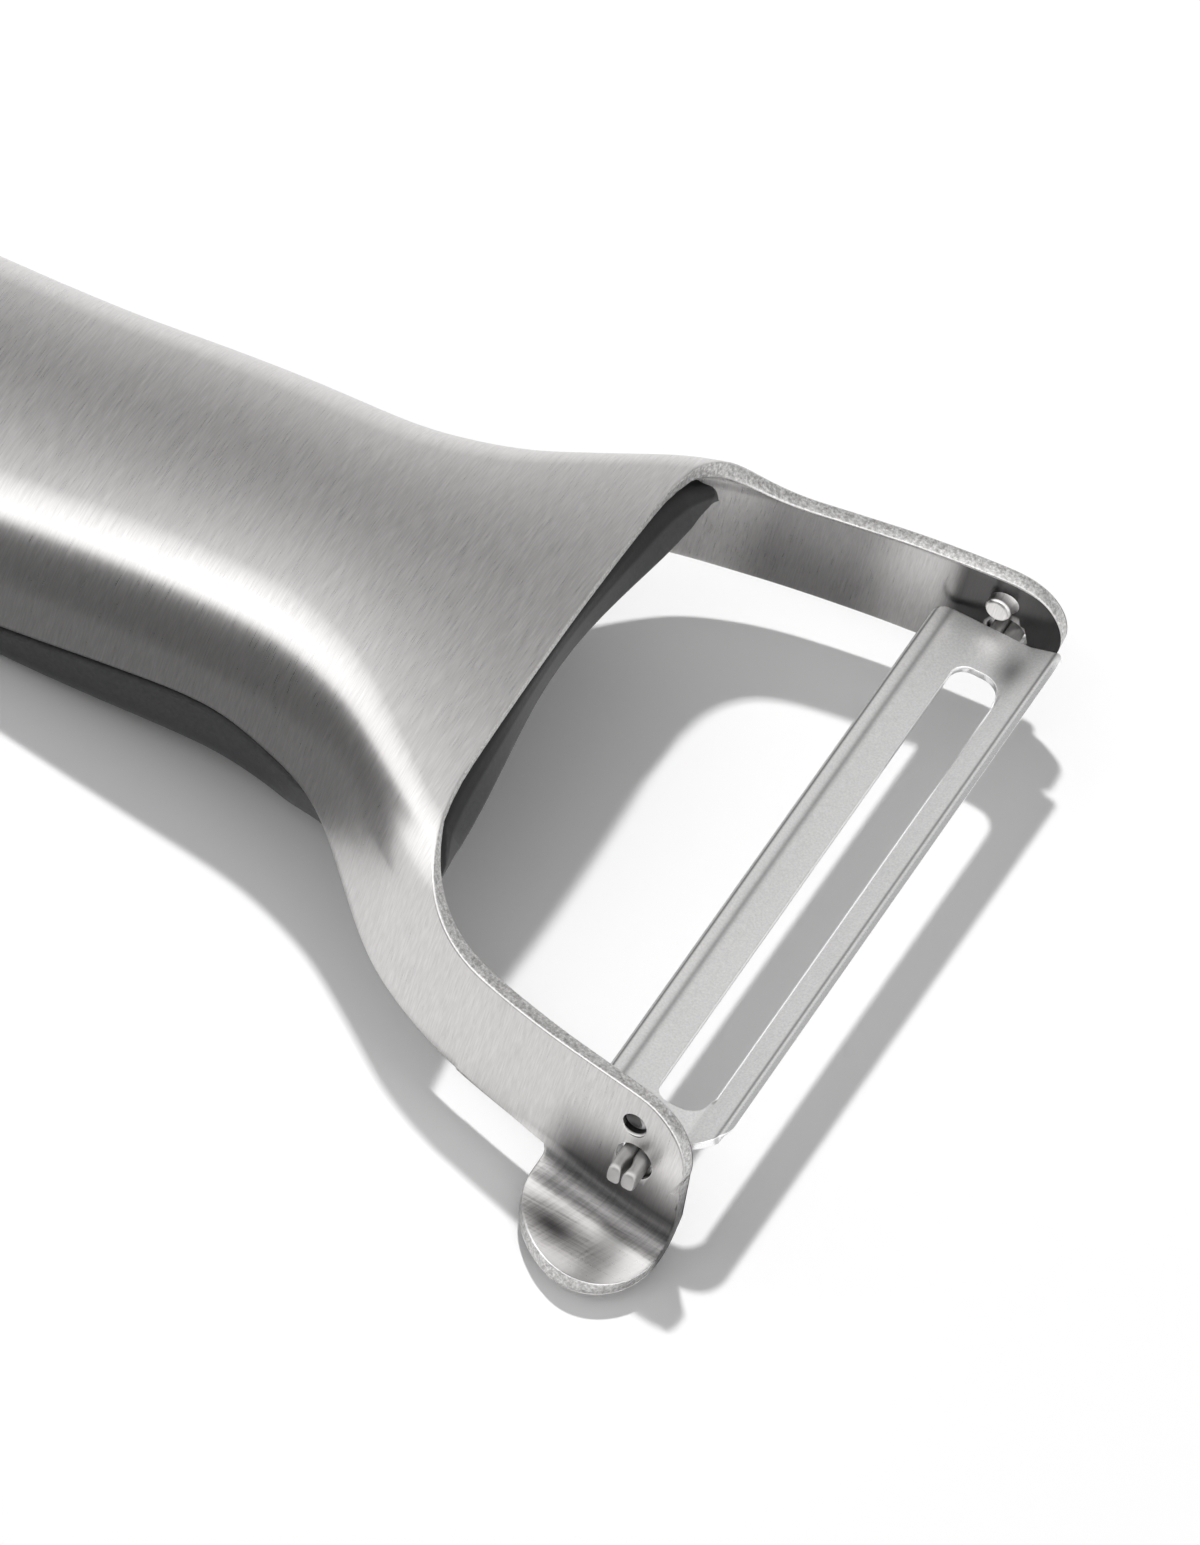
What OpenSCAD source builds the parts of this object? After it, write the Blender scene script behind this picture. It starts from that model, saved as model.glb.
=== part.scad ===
// Y-shaped vegetable peeler: a pressed steel body whose side walls run on as
// two arms, a soft grip under the handle, a stiff core inside it, and a
// swivelling blade between the arms.
// Millimetres, +Z up, +X from the handle to the blade. The origin is the
// middle of the flat under the grip that the peeler lies on.

/* [Head] */
// Width across the outside of the two arms at the blade's pivots
head_w = 67.2; // [63:0.1:72]
// Height of the blade's pivot axis above the surface it lies on
pivot_z = 9.3; // [8.5:0.1:11]
// Distance from the pivot axis back to the front edge of the shell's top
throat = 27; // [25:0.5:30]
// Distance that the arms reach forward past the pivot axis
tip_reach = 4.4; // [4:0.1:5]
// Height of the lower edge of the arms above the surface
arm_foot = 4.6; // [4:0.1:5.5]
// Height of an arm from its lower to its upper edge, near the pivot
arm_h = 11.4; // [11:0.1:12.5]
// Depth by which an arm's upper edge dips behind the pivot
arm_dip = 0.6; // [0.3:0.05:0.9]
// Height of the crown at the front edge of the shell
head_crown = 23.4; // [22:0.1:26]

/* [Handle] */
// Distance from the narrowest part of the neck forward to the pivot axis
neck_reach = 50; // [46:1:56]
// Distance from the neck back to the rear end of the handle
handle_len = 100; // [90:1:115]
// Width of the handle at the neck
neck_w = 30.8; // [28:0.1:34]
// Width of the handle near its rear end
butt_w = 33.2; // [31:0.1:37]
// Height of the crown near the rear end
butt_crown = 12.7; // [12:0.1:14.5]
// Height of the steel's lower edge near the rear end
butt_edge = 2.4; // [2.2:0.1:3]
// Height of the steel's lower edge at the neck
neck_edge = 10.5; // [9.5:0.1:12]
// Distance from the pivot axis back to the middle of the flat under the grip
rest_back = 102; // [98:1:106]

/* [Steel] */
// Thickness of the pressed steel sheet
steel_t = 1.4; // [1.2:0.05:1.6]
// Radius of the rounded shoulders along the handle
shoulder_r = 8; // [7:0.1:9]
// Radius of the rounded shoulders at the head
head_shoulder_r = 6; // [5:0.1:7]
// Angle of the crown's arch where it meets a shoulder
arch_angle = 12; // [9:0.5:15]
// Angle by which the side walls splay outward going down
splay = 3.5; // [2:0.1:5]

/* [Pivots and stops] */
// Diameter of the pivot hole in each arm
pivot_hole_d = 3.4; // [3.2:0.05:3.8]
// Diameter of the stop pressed into each arm
stop_d = 2.3; // [2:0.05:2.5]
// Distance that a stop reaches past the blade's end
stop_catch = 0.27; // [0.2:0.01:0.35]
// Height of a stop above the pivot axis
stop_rise = 3.6; // [3.5:0.05:3.9]
// Distance of a stop behind the pivot axis
stop_back = 1.0; // [0.8:0.05:1.2]
// Diameter of the recess that the press leaves on the outer side
recess_d = 2.1; // [1.9:0.05:2.2]
// Depth of that recess
recess_deep = 0.9; // [0.7:0.05:1.1]

/* [Eyer tab] */
// Width of the scoop for potato eyes, along the arm
tab_w = 12.7; // [12:0.1:13]
// Distance that the scoop reaches out, along its curve
tab_l = 9.6; // [8.5:0.1:10.5]
// Radius of the bend between the arm and the scoop
tab_bend_r = 2.6; // [2.4:0.1:2.8]
// Distance of the scoop's middle behind the pivot axis
tab_back = 0.95; // [0.7:0.05:1.1]

/* [Blade] */
// Thickness of the blade's steel
blade_t = 0.7; // [0.6:0.05:0.8]
// Gap between each end of the blade and its arm
blade_gap = 1.3; // [1.25:0.05:1.5]
// Length of the strip's solid end next to the slot, at the near arm
near_end_l = 3.2; // [2.8:0.1:3.6]
// Length of the strip's solid end at the far arm
far_end_l = 4.8; // [4.4:0.1:5.2]
// Width of the slot
slot_w = 4.3; // [4.25:0.05:4.6]
// Width of the flat behind the slot
rear_flat_w = 3; // [2.7:0.1:3.2]
// Width of the lip turned up at the rear edge
lip_w = 1.3; // [1:0.1:1.5]
// Width of the strip in front of the slot
front_strip_w = 3.1; // [2.8:0.1:3.3]
// Angle of the turned-up lip
lip_angle = 15; // [10:1:20]
// Angle of the turned-up front strip
front_angle = 20; // [15:1:22]
// Height of the blade's flat above its pivot axis
blade_rise = 0.9; // [0.7:0.05:1.1]
// Distance from the pivot axis back to the slot's rear edge
slot_back = 1.55; // [1.4:0.05:1.7]
// Angle that the blade lies at, front edge up
rest_tilt = 4; // [0:1:8]
// Diameter of the blade's folded pivot studs
stud_d = 2.5; // [2.3:0.05:2.6]
// Distance that a stud stands out of its arm
stud_out = 2.3; // [1.8:0.1:2.5]

/* [Grip] */
// Gap between the steel's inner side and what fills it
fill_gap = 0.17; // [0.15:0.01:0.2]
// Gap under the steel's lower edge
edge_gap = 0.5; // [0.4:0.05:0.6]
// Distance from the steel's outer face in to the grip's side
grip_inset = 0.25; // [0.2:0.05:0.4]
// Thickness of the grip's front lining under the crown
lining_t = 4.6; // [4:0.1:5]
// Distance from the shell's front edge back to the lining's upper edge
lining_back = 0.15; // [0.1:0.05:0.5]
// Distance that the lining's lower edge lies before the shell's, in the middle
lip_out = 0.5; // [0.3:0.1:0.8]
// The same at the shoulders
lip_side_out = 2.5; // [2:0.1:2.8]
// Radius of the rounding along the grip's underside
grip_round = 4.5; // [4:0.1:5]

/* [Hidden] */

// Overrun of every cut past the faces it goes through
cut = 1;
// Facets of a full circle
round_fn = 48;

// Places along the peeler, measured from the pivot axis
front_x = -throat;
neck_x = -neck_reach;
butt_x = neck_x - handle_len;
butt_cx = butt_x + butt_w / 2;
arm_top = arm_foot + arm_h;
tip_r = arm_h / 2;
tip_cx = tip_reach - tip_r;
tip_cz = arm_foot + tip_r;

// Half width of the shell at the top of its walls, behind the neck and then
// from the neck to the pivot axis: share of the way, share of the widening
handle_half_shares = [[1, 1], [0.75, 0.8], [0.5, 0.35], [0.3, 0.05], [0.15, -0.06]];
flare_half_shares = [
    [0, 0], [0.1, 0.033], [0.22, 0.144], [0.29, 0.265], [0.36, 0.403], [0.42, 0.53],
    [0.46, 0.602], [0.52, 0.682], [0.62, 0.786], [0.774, 0.895], [0.874, 0.947], [1, 1], [1.1, 1.035]
];
head_splay_share = 0.03;
wall_top_half = head_w / 2 - head_splay_share * arm_h;
half_pts = concat(
    [for (p = handle_half_shares) [neck_x - p[0] * (neck_x - butt_cx), (neck_w + p[1] * (butt_w - neck_w)) / 2]],
    [for (p = flare_half_shares) [neck_x * (1 - p[0]), neck_w / 2 + p[1] * (wall_top_half - neck_w / 2)]]
);

// Height of the crown from the rear end to the shell's front edge: share of
// the way, share of the rise
crown_shares = [
    [0, 0], [0.15, 0.01], [0.27, 0.04], [0.36, 0.1], [0.46, 0.24], [0.57, 0.44], [0.65, 0.64],
    [0.74, 0.82], [0.88, 0.965], [1, 1], [1.35, 1]
];
crown_pts = [for (p = crown_shares)
    [butt_cx + p[0] * (front_x - butt_cx), butt_crown + p[1] * (head_crown - butt_crown)]];

// Height of the steel's lower edge: behind the neck, then from the neck to the arms
edge_rise_shares = [[1, 0], [0.6, 0.01], [0.42, 0.1], [0.3, 0.3], [0.2, 0.52], [0.1, 0.78]];
edge_fall_shares = [[0, 0], [0.12, 0.01], [0.22, 0.0], [0.29, 0.14], [0.36, 0.48], [0.47, 0.82], [0.64, 1], [1.2, 1]];
edge_pts = concat(
    [for (p = edge_rise_shares) [neck_x - p[0] * (neck_x - butt_cx), butt_edge + p[1] * (neck_edge - butt_edge)]],
    [for (p = edge_fall_shares) [neck_x * (1 - p[0]), neck_edge - p[1] * (neck_edge - arm_foot)]]
);

// Smooth curve through points whose first number rises
function step_at(x, pts) = min(max(len([for (p = pts) if (p[0] <= x) 1]) - 1, 0), len(pts) - 2);
function slope(pts, i) = let (a = max(i - 1, 0), b = min(i + 1, len(pts) - 1))
    (pts[b][1] - pts[a][1]) / (pts[b][0] - pts[a][0]);
function smooth(x, pts) = let (
        i = step_at(x, pts),
        h = pts[i + 1][0] - pts[i][0],
        u = min(max((x - pts[i][0]) / h, 0), 1),
        m0 = slope(pts, i) * h,
        m1 = slope(pts, i + 1) * h,
        y0 = pts[i][1],
        y1 = pts[i + 1][1]
    ) y0 + u * (m0 + u * (3 * (y1 - y0) - 2 * m0 - m1 + u * (m0 + m1 - 2 * (y1 - y0))));
function ease(u) = let (v = min(max(u, 0), 1)) v * v * (3 - 2 * v);
function blend(a, b, u) = a + u * (b - a);

// The shell's cross-section at a place along the peeler: a shallow arch, a
// round shoulder and a wall that splays outward on its way down. A section
// lists the half width, the crown, the lower edge, the shoulder's radius and
// centre, the arch's radius and the top of the wall.
function section_at(x) = let (
        half = smooth(x, half_pts),
        crown = smooth(x, crown_pts),
        r = blend(shoulder_r, head_shoulder_r, ease((x - neck_x) / (front_x - neck_x))),
        cy = half - r * cos(splay),
        arch_r = (cy + r * sin(arch_angle)) / sin(arch_angle),
        cz = crown - arch_r * (1 - cos(arch_angle)) - r * cos(arch_angle)
    ) [half, crown, smooth(x, edge_pts), r, cy, cz, arch_r, cz + r * sin(splay)];
function edge_of(s) = s[2];
function wall_top(s) = s[7];
function on_arch(s, a) = [s[6] * sin(a), s[1] - s[6] * (1 - cos(a))];
function on_shoulder(s, a) = [s[4] + s[3] * cos(a), s[5] + s[3] * sin(a)];
function half_at_height(s, z) = z > wall_top(s)
    ? s[4] + sqrt(max(s[3] ^ 2 - (z - s[5]) ^ 2, 0))
    : s[0] + (wall_top(s) - z) * tan(splay);

// Columns of the shell's grid on one side, from the spine out to the lower edge
arch_n = 3;
shoulder_n = 3;
lower_n = 4;
wall_n = 3;
side_n = arch_n + shoulder_n;
cols = side_n + lower_n + wall_n;
// Angle on the shoulder at which the arms part from the shell's top
part_angle = 42;
function col_angle(k) = k <= side_n
    ? blend(90 - arch_angle, part_angle, (k - arch_n) / shoulder_n)
    : blend(part_angle, splay, (k - side_n) / lower_n);
function col_point(s, k) =
    k <= arch_n ? on_arch(s, arch_angle * k / arch_n)
    : k <= side_n + lower_n ? on_shoulder(s, col_angle(k))
    : let (z = blend(wall_top(s), edge_of(s), (k - side_n - lower_n) / wall_n)) [half_at_height(s, z), z];

// Rows of the grid: round the rear end, along the handle and neck, round the
// corner between the front edge and the arms, and out to the arms' tips
end_n = 7;
handle_n = 15;
neck_n = 10;
corner_n = 5;
arm_n = 4;
tip_n = 6;
// The corner between the front edge and an arm is a squarish ellipse: its
// length along the arm, its length round the section, its power, and the
// distance behind the front edge from which the rows follow it
corner_l = 10;
corner_w = 13.5;
corner_power = 2.3;
corner_run = 9;
last_tip_angle = 80;
full_rows = end_n + handle_n + neck_n;
rows = full_rows + corner_n + arm_n + tip_n;
function row_x(j) =
    j <= end_n ? butt_cx
    : j <= end_n + handle_n ? blend(butt_cx, neck_x, (j - end_n) / handle_n)
    : j <= full_rows ? blend(neck_x, front_x, (j - end_n - handle_n) / neck_n)
    : j <= full_rows + corner_n ? front_x + corner_l * (1 - cos(corner_turn(j)) ^ (2 / corner_power))
    : j <= full_rows + corner_n + arm_n
        ? blend(front_x + corner_l, tip_cx, (j - full_rows - corner_n) / arm_n)
    : tip_cx + tip_r * sin(tip_angle(j));
function tip_angle(j) = last_tip_angle * (j - full_rows - corner_n - arm_n) / tip_n;
function row_turn(j) = 90 * min(j / end_n, 1);
front_section = section_at(front_x);
part_z = on_shoulder(front_section, part_angle)[1];

// Places on the corner, measured round the front section from the corner's start
corner_end_angle = asin((arm_top - arm_dip - front_section[5]) / head_shoulder_r);
function shoulder_l(a) = head_shoulder_r * a * PI / 180;
function corner_place(k) = corner_w - shoulder_l(col_angle(max(k, arch_n)) - corner_end_angle)
    - front_section[6] * arch_angle * (1 - min(k / arch_n, 1)) * PI / 180;
part_place = corner_place(side_n);
function corner_turn(j) =
    blend(asin((part_place / corner_w) ^ (corner_power / 2)), 90, (j - full_rows) / corner_n);
function corner_z(j) = on_shoulder(front_section, corner_end_angle
    + corner_w * (1 - sin(corner_turn(j)) ^ (2 / corner_power)) / head_shoulder_r * 180 / PI)[1];
// How far a row follows the corner, and how far a column lies forward on it
function follow(j) = max(0, 1 - (front_x - row_x(j)) / corner_run) ^ 2;
function forward(k) = let (u = max(corner_place(min(abs(k), side_n)) / corner_w, 0))
    corner_l * (1 - (1 - u ^ corner_power) ^ (1 / corner_power));

function arm_top_at(j) =
    j <= full_rows + corner_n ? corner_z(j)
    : j <= full_rows + corner_n + arm_n
        ? arm_top - arm_dip * (1 - ease((j - full_rows - corner_n) / arm_n))
    : tip_cz + tip_r * cos(tip_angle(j));
function arm_foot_at(j, s, near) =
    near || j <= full_rows + corner_n + arm_n ? edge_of(s) : tip_cz - tip_r * cos(tip_angle(j));
// The near arm's front edge leans forward on its way down to the scoop
tip_lean = 0.7;
function lean(j, z) = tip_lean * max(0, sin(tip_angle(j))) * max(0, (tip_cz - z) / tip_r);
arm_col_shares = [for (k = [side_n : cols])
    (col_point(front_section, k)[1] - edge_of(front_section)) / (part_z - edge_of(front_section))];

// The shell's outer face, row by row; columns run from the near edge, below
// zero, over the spine to the far edge
function full_row_point(j, s, k) = let (p = col_point(s, abs(k)), a = row_turn(j), side = k < 0 ? -1 : 1)
    [row_x(j) - p[0] * cos(a), side * p[0] * sin(a), p[1]];
function front_row_point(j, k) = let (
        x = row_x(j) + follow(j) * forward(k),
        p = col_point(section_at(x), abs(k))
    ) [x, (k < 0 ? -1 : 1) * p[0], p[1]];
function arm_row_point(j, s, k) = let (
        f = arm_col_shares[max(abs(k) - side_n, 0)],
        z = blend(arm_foot_at(j, s, k < 0), arm_top_at(j), f),
        leaning = k < 0 && j > full_rows + corner_n + arm_n ? lean(j, z) : 0
    ) [row_x(j) + leaning, (k < 0 ? -1 : 1) * half_at_height(s, z), z];
outer = [for (j = [0 : rows]) let (s = section_at(row_x(j)))
    [for (k = [-cols : cols])
        j > full_rows ? arm_row_point(j, s, k)
        : follow(j) > 0 ? front_row_point(j, k)
        : full_row_point(j, s, k)]];
function shell_point(j, k) = outer[j][k + cols];

// Inner face: each point moved in by a depth, square to the outer face
function unit(v) = v / norm(v);
function beside(j, k) = j < 0 ? shell_point(-j, -k) : shell_point(j, k);
function col_low(j, k) = j > full_rows && k > 0 ? max(k - 1, side_n) : max(k - 1, -cols);
function col_high(j, k) = j > full_rows && k < 0 ? min(k + 1, -side_n) : min(k + 1, cols);
function shell_normal(j, k) =
    k == 0 && j <= end_n ? [0, 0, 1]
    : let (
        last = abs(k) < side_n ? full_rows : rows,
        dj = beside(min(j + 1, last), k) - beside(j - 1, k),
        dk = shell_point(j, col_high(j, k)) - shell_point(j, col_low(j, k))
    ) unit(cross(dj, dk));
normals = [for (j = [0 : rows]) [for (k = [-cols : cols])
    j > full_rows && abs(k) < side_n ? [0, 0, 1] : shell_normal(j, k)]];
function inner_point(j, k, depth) = shell_point(j, k) - depth * normals[j][k + cols];

// Closed skin between two grids of the same shape. Rows up to first_open go
// from edge to edge, and the later ones have only the columns past gap_col.
// Row 0 is the middle of the round end, where both sides share their points,
// and the rows of the round end share their point on the spine.
function at(j, k, n, turns) = let (
        kk = j == 0 ? abs(k) : k,
        jj = k == 0 && j < turns ? turns : j
    ) jj * (2 * n + 1) + kk + n;
function grid(j_last, n) = [for (j = [0 : j_last]) for (k = [-n : n]) [j, k]];
function tri(a, b, c) = a == b || b == c || a == c ? [] : [[a, b, c]];
function quad(a, b, c, d) = concat(tri(a, b, c), tri(a, c, d));
function flat(list) = [for (part = list) for (item = part) item];
function has_cell(j, k, first_open, gap_col) = j < first_open || k >= gap_col || k + 1 <= -gap_col;
function skin_faces(j_last, n, turns, first_open, gap_col) = let (
        m = (j_last + 1) * (2 * n + 1),
        faces = flat([for (j = [0 : j_last - 1]) for (k = [-n : n - 1])
            if (has_cell(j, k, first_open, gap_col)) let (
                a = at(j, k, n, turns),
                b = at(j + 1, k, n, turns),
                c = at(j + 1, k + 1, n, turns),
                d = at(j, k + 1, n, turns)
            ) concat(quad(d, c, b, a), quad(m + a, m + b, m + c, m + d))]),
        rim_run = concat(
            [for (j = [0 : j_last - 1]) [[j, -n], [j + 1, -n]]],
            [for (j = [0 : j_last - 1]) [[j + 1, n], [j, n]]],
            first_open == j_last
                ? [for (k = [-n : n - 1]) [[j_last, k], [j_last, k + 1]]]
                : concat(
                    [for (k = [-gap_col : gap_col - 1]) [[first_open, k], [first_open, k + 1]]],
                    [for (j = [first_open : j_last - 1]) [[j + 1, -gap_col], [j, -gap_col]]],
                    [for (j = [first_open : j_last - 1]) [[j, gap_col], [j + 1, gap_col]]],
                    [for (k = [-n : -gap_col - 1]) [[j_last, k], [j_last, k + 1]]],
                    [for (k = [gap_col : n - 1]) [[j_last, k], [j_last, k + 1]]]
                )
        ),
        rim = flat([for (e = rim_run) let (
                a = at(e[0][0], e[0][1], n, turns),
                b = at(e[1][0], e[1][1], n, turns)
            ) quad(a, b, m + b, m + a)])
    ) concat(faces, rim);

module at_pivot() {
    translate([rest_back, 0, 0]) children();
}

// The scoop: a plate that leaves the near arm's lower edge in a tight bend
// and goes on in a shallow curve, with a rounded outline
tab_rows = 14;
tab_cols = 12;
tab_end_angle = 8;
tab_root = 1.5;
tab_inset = 0.03;
tab_bend_angle = 78;
tab_turn = 98;
tab_bend_share = 0.4;
tab_bend_z = arm_foot + tab_bend_share * tab_bend_r;
function tab_row_angle(i) = blend(tab_end_angle, 180 - tab_end_angle, i / tab_rows);
function tab_x(i) = -tab_back - tab_w / 2 * cos(tab_row_angle(i));
function tab_reach(i) = tab_l * sin(tab_row_angle(i));
// Distance out and height of a place on the curve, at a length from the bend's start
tab_bend_l = tab_bend_r * tab_bend_angle * PI / 180;
tab_scoop_r = (tab_l - tab_bend_l) / ((tab_turn - tab_bend_angle) * PI / 180);
function tab_curve(l) = l < 0 ? [l * tan(splay), -l, 0]
    : l < tab_bend_l
        ? let (a = l / tab_bend_r * 180 / PI) [tab_bend_r * (1 - cos(a)), -tab_bend_r * sin(a), a]
    : let (
        a = tab_bend_angle + (l - tab_bend_l) / tab_scoop_r * 180 / PI,
        o = tab_bend_r * (1 - cos(tab_bend_angle)) + tab_scoop_r * (cos(tab_bend_angle) - cos(a)),
        d = tab_bend_r * sin(tab_bend_angle) + tab_scoop_r * (sin(a) - sin(tab_bend_angle))
    ) [o, -d, a];
function tab_point(i, k, depth) = let (
        l = blend(-tab_root, tab_reach(i), k / tab_cols),
        c = tab_curve(l),
        x = tab_x(i),
        y = half_at_height(section_at(x), tab_bend_z)
    ) [x, -(y + c[0] - depth * cos(c[2])), tab_bend_z + c[1] - depth * sin(c[2])];
tab_points = concat(
    [for (i = [0 : tab_rows]) for (k = [0 : tab_cols]) tab_point(i, k, tab_inset)],
    [for (i = [0 : tab_rows]) for (k = [0 : tab_cols]) tab_point(i, k, steel_t - tab_inset)]
);
tab_m = (tab_rows + 1) * (tab_cols + 1);
function tab_at(i, k) = i * (tab_cols + 1) + k;
tab_faces = concat(
    flat([for (i = [0 : tab_rows - 1]) for (k = [0 : tab_cols - 1]) let (
            a = tab_at(i, k), b = tab_at(i + 1, k), c = tab_at(i + 1, k + 1), d = tab_at(i, k + 1)
        ) concat(quad(a, b, c, d), quad(tab_m + d, tab_m + c, tab_m + b, tab_m + a))]),
    flat([for (i = [0 : tab_rows - 1]) concat(
        quad(tab_at(i + 1, 0), tab_at(i, 0), tab_m + tab_at(i, 0), tab_m + tab_at(i + 1, 0)),
        quad(tab_at(i, tab_cols), tab_at(i + 1, tab_cols),
            tab_m + tab_at(i + 1, tab_cols), tab_m + tab_at(i, tab_cols)))]),
    flat([for (k = [0 : tab_cols - 1]) concat(
        quad(tab_at(0, k), tab_at(0, k + 1), tab_m + tab_at(0, k + 1), tab_m + tab_at(0, k)),
        quad(tab_at(tab_rows, k + 1), tab_at(tab_rows, k),
            tab_m + tab_at(tab_rows, k), tab_m + tab_at(tab_rows, k + 1)))])
);

// Round bar across one arm at a place near the pivot, from its inner face
arm_half = half_at_height(section_at(0), pivot_z);
stop_half = half_at_height(section_at(-stop_back), pivot_z + stop_rise);
blade_l = 2 * (arm_half - steel_t - blade_gap);
stop_from = blade_l / 2 - stop_catch;
module across(side, x, z, from, to, r) {
    translate([x, side * from, z])
        rotate([side > 0 ? -90 : 90, 0, 0])
            cylinder(r = r, h = to - from, $fn = round_fn);
}

// The space inside the shell, one clearance in from the steel, on the same
// grid; its last row lies behind the shell's front edge
neck_step = (front_x - neck_x) / neck_n;
function fill_row(j, k) = inner_point(j, k, steel_t + fill_gap);
function fill_point(j, k) = j < full_rows ? fill_row(j, k)
    : blend(fill_row(j - 1, k), fill_row(j, k), 1 - lining_back / neck_step);
function fill_between(j, q) = let (side = q < 0 ? -1 : 1, c = min(abs(q), cols), i = min(floor(c), cols - 1))
    blend(fill_point(j, side * i), fill_point(j, side * (i + 1)), c - i);

// The core fills the crown of the shell behind its front row
core_col = side_n + lower_n - 1;
core_rim = 0.6;
core_rows = full_rows - 5;
function core_floor(j) = fill_point(j, core_col)[2] - core_rim;
function core_bottom(j, k) = let (p = fill_point(j, k)) [p[0], p[1], core_floor(j)];

// Heights of the grip's underside along its sides and along its middle, from
// the neck forward and from the neck back to the flat: share of the way from
// the neck to the pivot axis, share of the neck's edge height
belly_side_shares = [
    [-0.4, 0], [-0.34, 0.004], [-0.2, 0.085], [0, 0.24], [0.12, 0.33], [0.24, 0.45], [0.34, 0.58], [0.46, 0.66]];
belly_mid_shares = [
    [-0.4, 0], [-0.34, 0.002], [-0.2, 0.06], [0, 0.29], [0.12, 0.57], [0.24, 0.9], [0.34, 1.24], [0.46, 1.5]];
function belly(shares, x) = neck_edge * smooth(x / neck_reach + 1, shares);
// Where the grip's side draws in behind the steel and where its underside
// starts to turn into the lining: shares of the way from the neck to the pivot
draw_in_shares = [0.18, 0.3];
lining_from_share = 0.31;
// Column at which the lining ends at the shoulder, and its thickness there
lining_past_cols = lower_n;
lining_end_col = side_n + lining_past_cols;
lining_end_share = 0.25;
// Share of the arch's columns over which the lower edge bows forward
lip_bow_share = 1.07;
// Least height of the grip's side face
side_least = 0.8;
// Least height of the rim where the side lies inside the steel
rim_least = 0.25;
round_least = 0.2;
arc_n = 6;
function neck_share(x) = x / neck_reach + 1;
function grip_x(j) = fill_point(j, 0)[0];
function is_inside(x) =
    ease((neck_share(x) - draw_in_shares[0]) / (draw_in_shares[1] - draw_in_shares[0]));
lining_to_share = neck_share(front_x - lining_back);
function is_lining(x) = ease((neck_share(x) - lining_from_share) / (lining_to_share - lining_from_share));
function end_col(j) = blend(cols, lining_end_col, is_lining(grip_x(j)));

// Upper side of the grip: under the core, and against the steel beside and
// before it, down to a step under the steel's lower edge
function grip_top(j, k) = let (
        p = fill_between(j, k * end_col(j) / cols),
        top = j <= core_rows ? min(p[2], core_floor(j) - fill_gap) : p[2],
        drop = abs(k) == cols ? edge_gap * (1 - is_lining(grip_x(j))) : 0
    ) [p[0], p[1], top - drop];

// Lower side of the grip: a side face, a rounded corner and the underside,
// and towards the front a lining of even thickness under the crown
function belly_point(j, k) = let (
        c = abs(k),
        x = row_x(j),
        s = section_at(x),
        foot = grip_top(j, cols),
        steel_side = half_at_height(s, edge_of(s)) - grip_inset,
        inner_side = foot[1],
        turn = row_turn(j),
        half = j < end_n ? steel_side : blend(steel_side, inner_side, is_inside(x)),
        z_top = min(edge_of(s) - edge_gap, foot[2] - rim_least * is_inside(x)),
        z_side = min(belly(belly_side_shares, x), z_top - side_least),
        z_mid = max(belly(belly_mid_shares, x), z_side),
        r = max(min(grip_round, z_top - z_side - round_least), round_least),
        a = 90 * (cols - 1 - c) / (arc_n - 1),
        across_share = c / (cols - arc_n),
        rho = c == cols ? half : c >= cols - arc_n ? half - r + r * cos(a) : (half - r) * across_share,
        z = c == cols ? z_top : c >= cols - arc_n ? z_side + r - r * sin(a)
            : blend(z_mid, z_side, across_share ^ 2)
    ) [blend(x, foot[0], is_inside(x)) - rho * cos(turn), (k < 0 ? -1 : 1) * rho * sin(turn), z];
function lining_point(j, k) = let (
        q = k * lining_end_col / cols,
        share = blend(1, lining_end_share, abs(q) / lining_end_col),
        p = fill_between(j, q),
        n = normals[min(j, full_rows)][round(q) + cols],
        low = p - lining_t * share * unit([0, n[1], n[2]]),
        out = blend(lip_out, lip_side_out, ease(abs(q) / (lip_bow_share * arch_n)))
    ) j < full_rows ? low : [max(p[0], front_x + out), low[1], low[2]];
function grip_bottom(j, k) = let (u = is_lining(grip_x(j)))
    u == 0 ? belly_point(j, k) : blend(belly_point(j, k), lining_point(j, k), u);

// Rectangle with a radius of its own at each corner, from the lower left on
// round against the clock
module rounded_plate(x0, y0, x1, y1, r) {
    at_x = [x0 + r[0], x1 - r[1], x1 - r[2], x0 + r[3]];
    at_y = [y0 + r[0], y0 + r[1], y1 - r[2], y1 - r[3]];
    polygon([
        [x0, at_y[0]], [at_x[0], y0], [at_x[1], y0], [x1, at_y[1]],
        [x1, at_y[2]], [at_x[2], y1], [at_x[3], y1], [x0, at_y[3]]
    ]);
    for (i = [0 : 3])
        translate([at_x[i], at_y[i]]) circle(r = r[i], $fn = round_fn);
}

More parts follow.
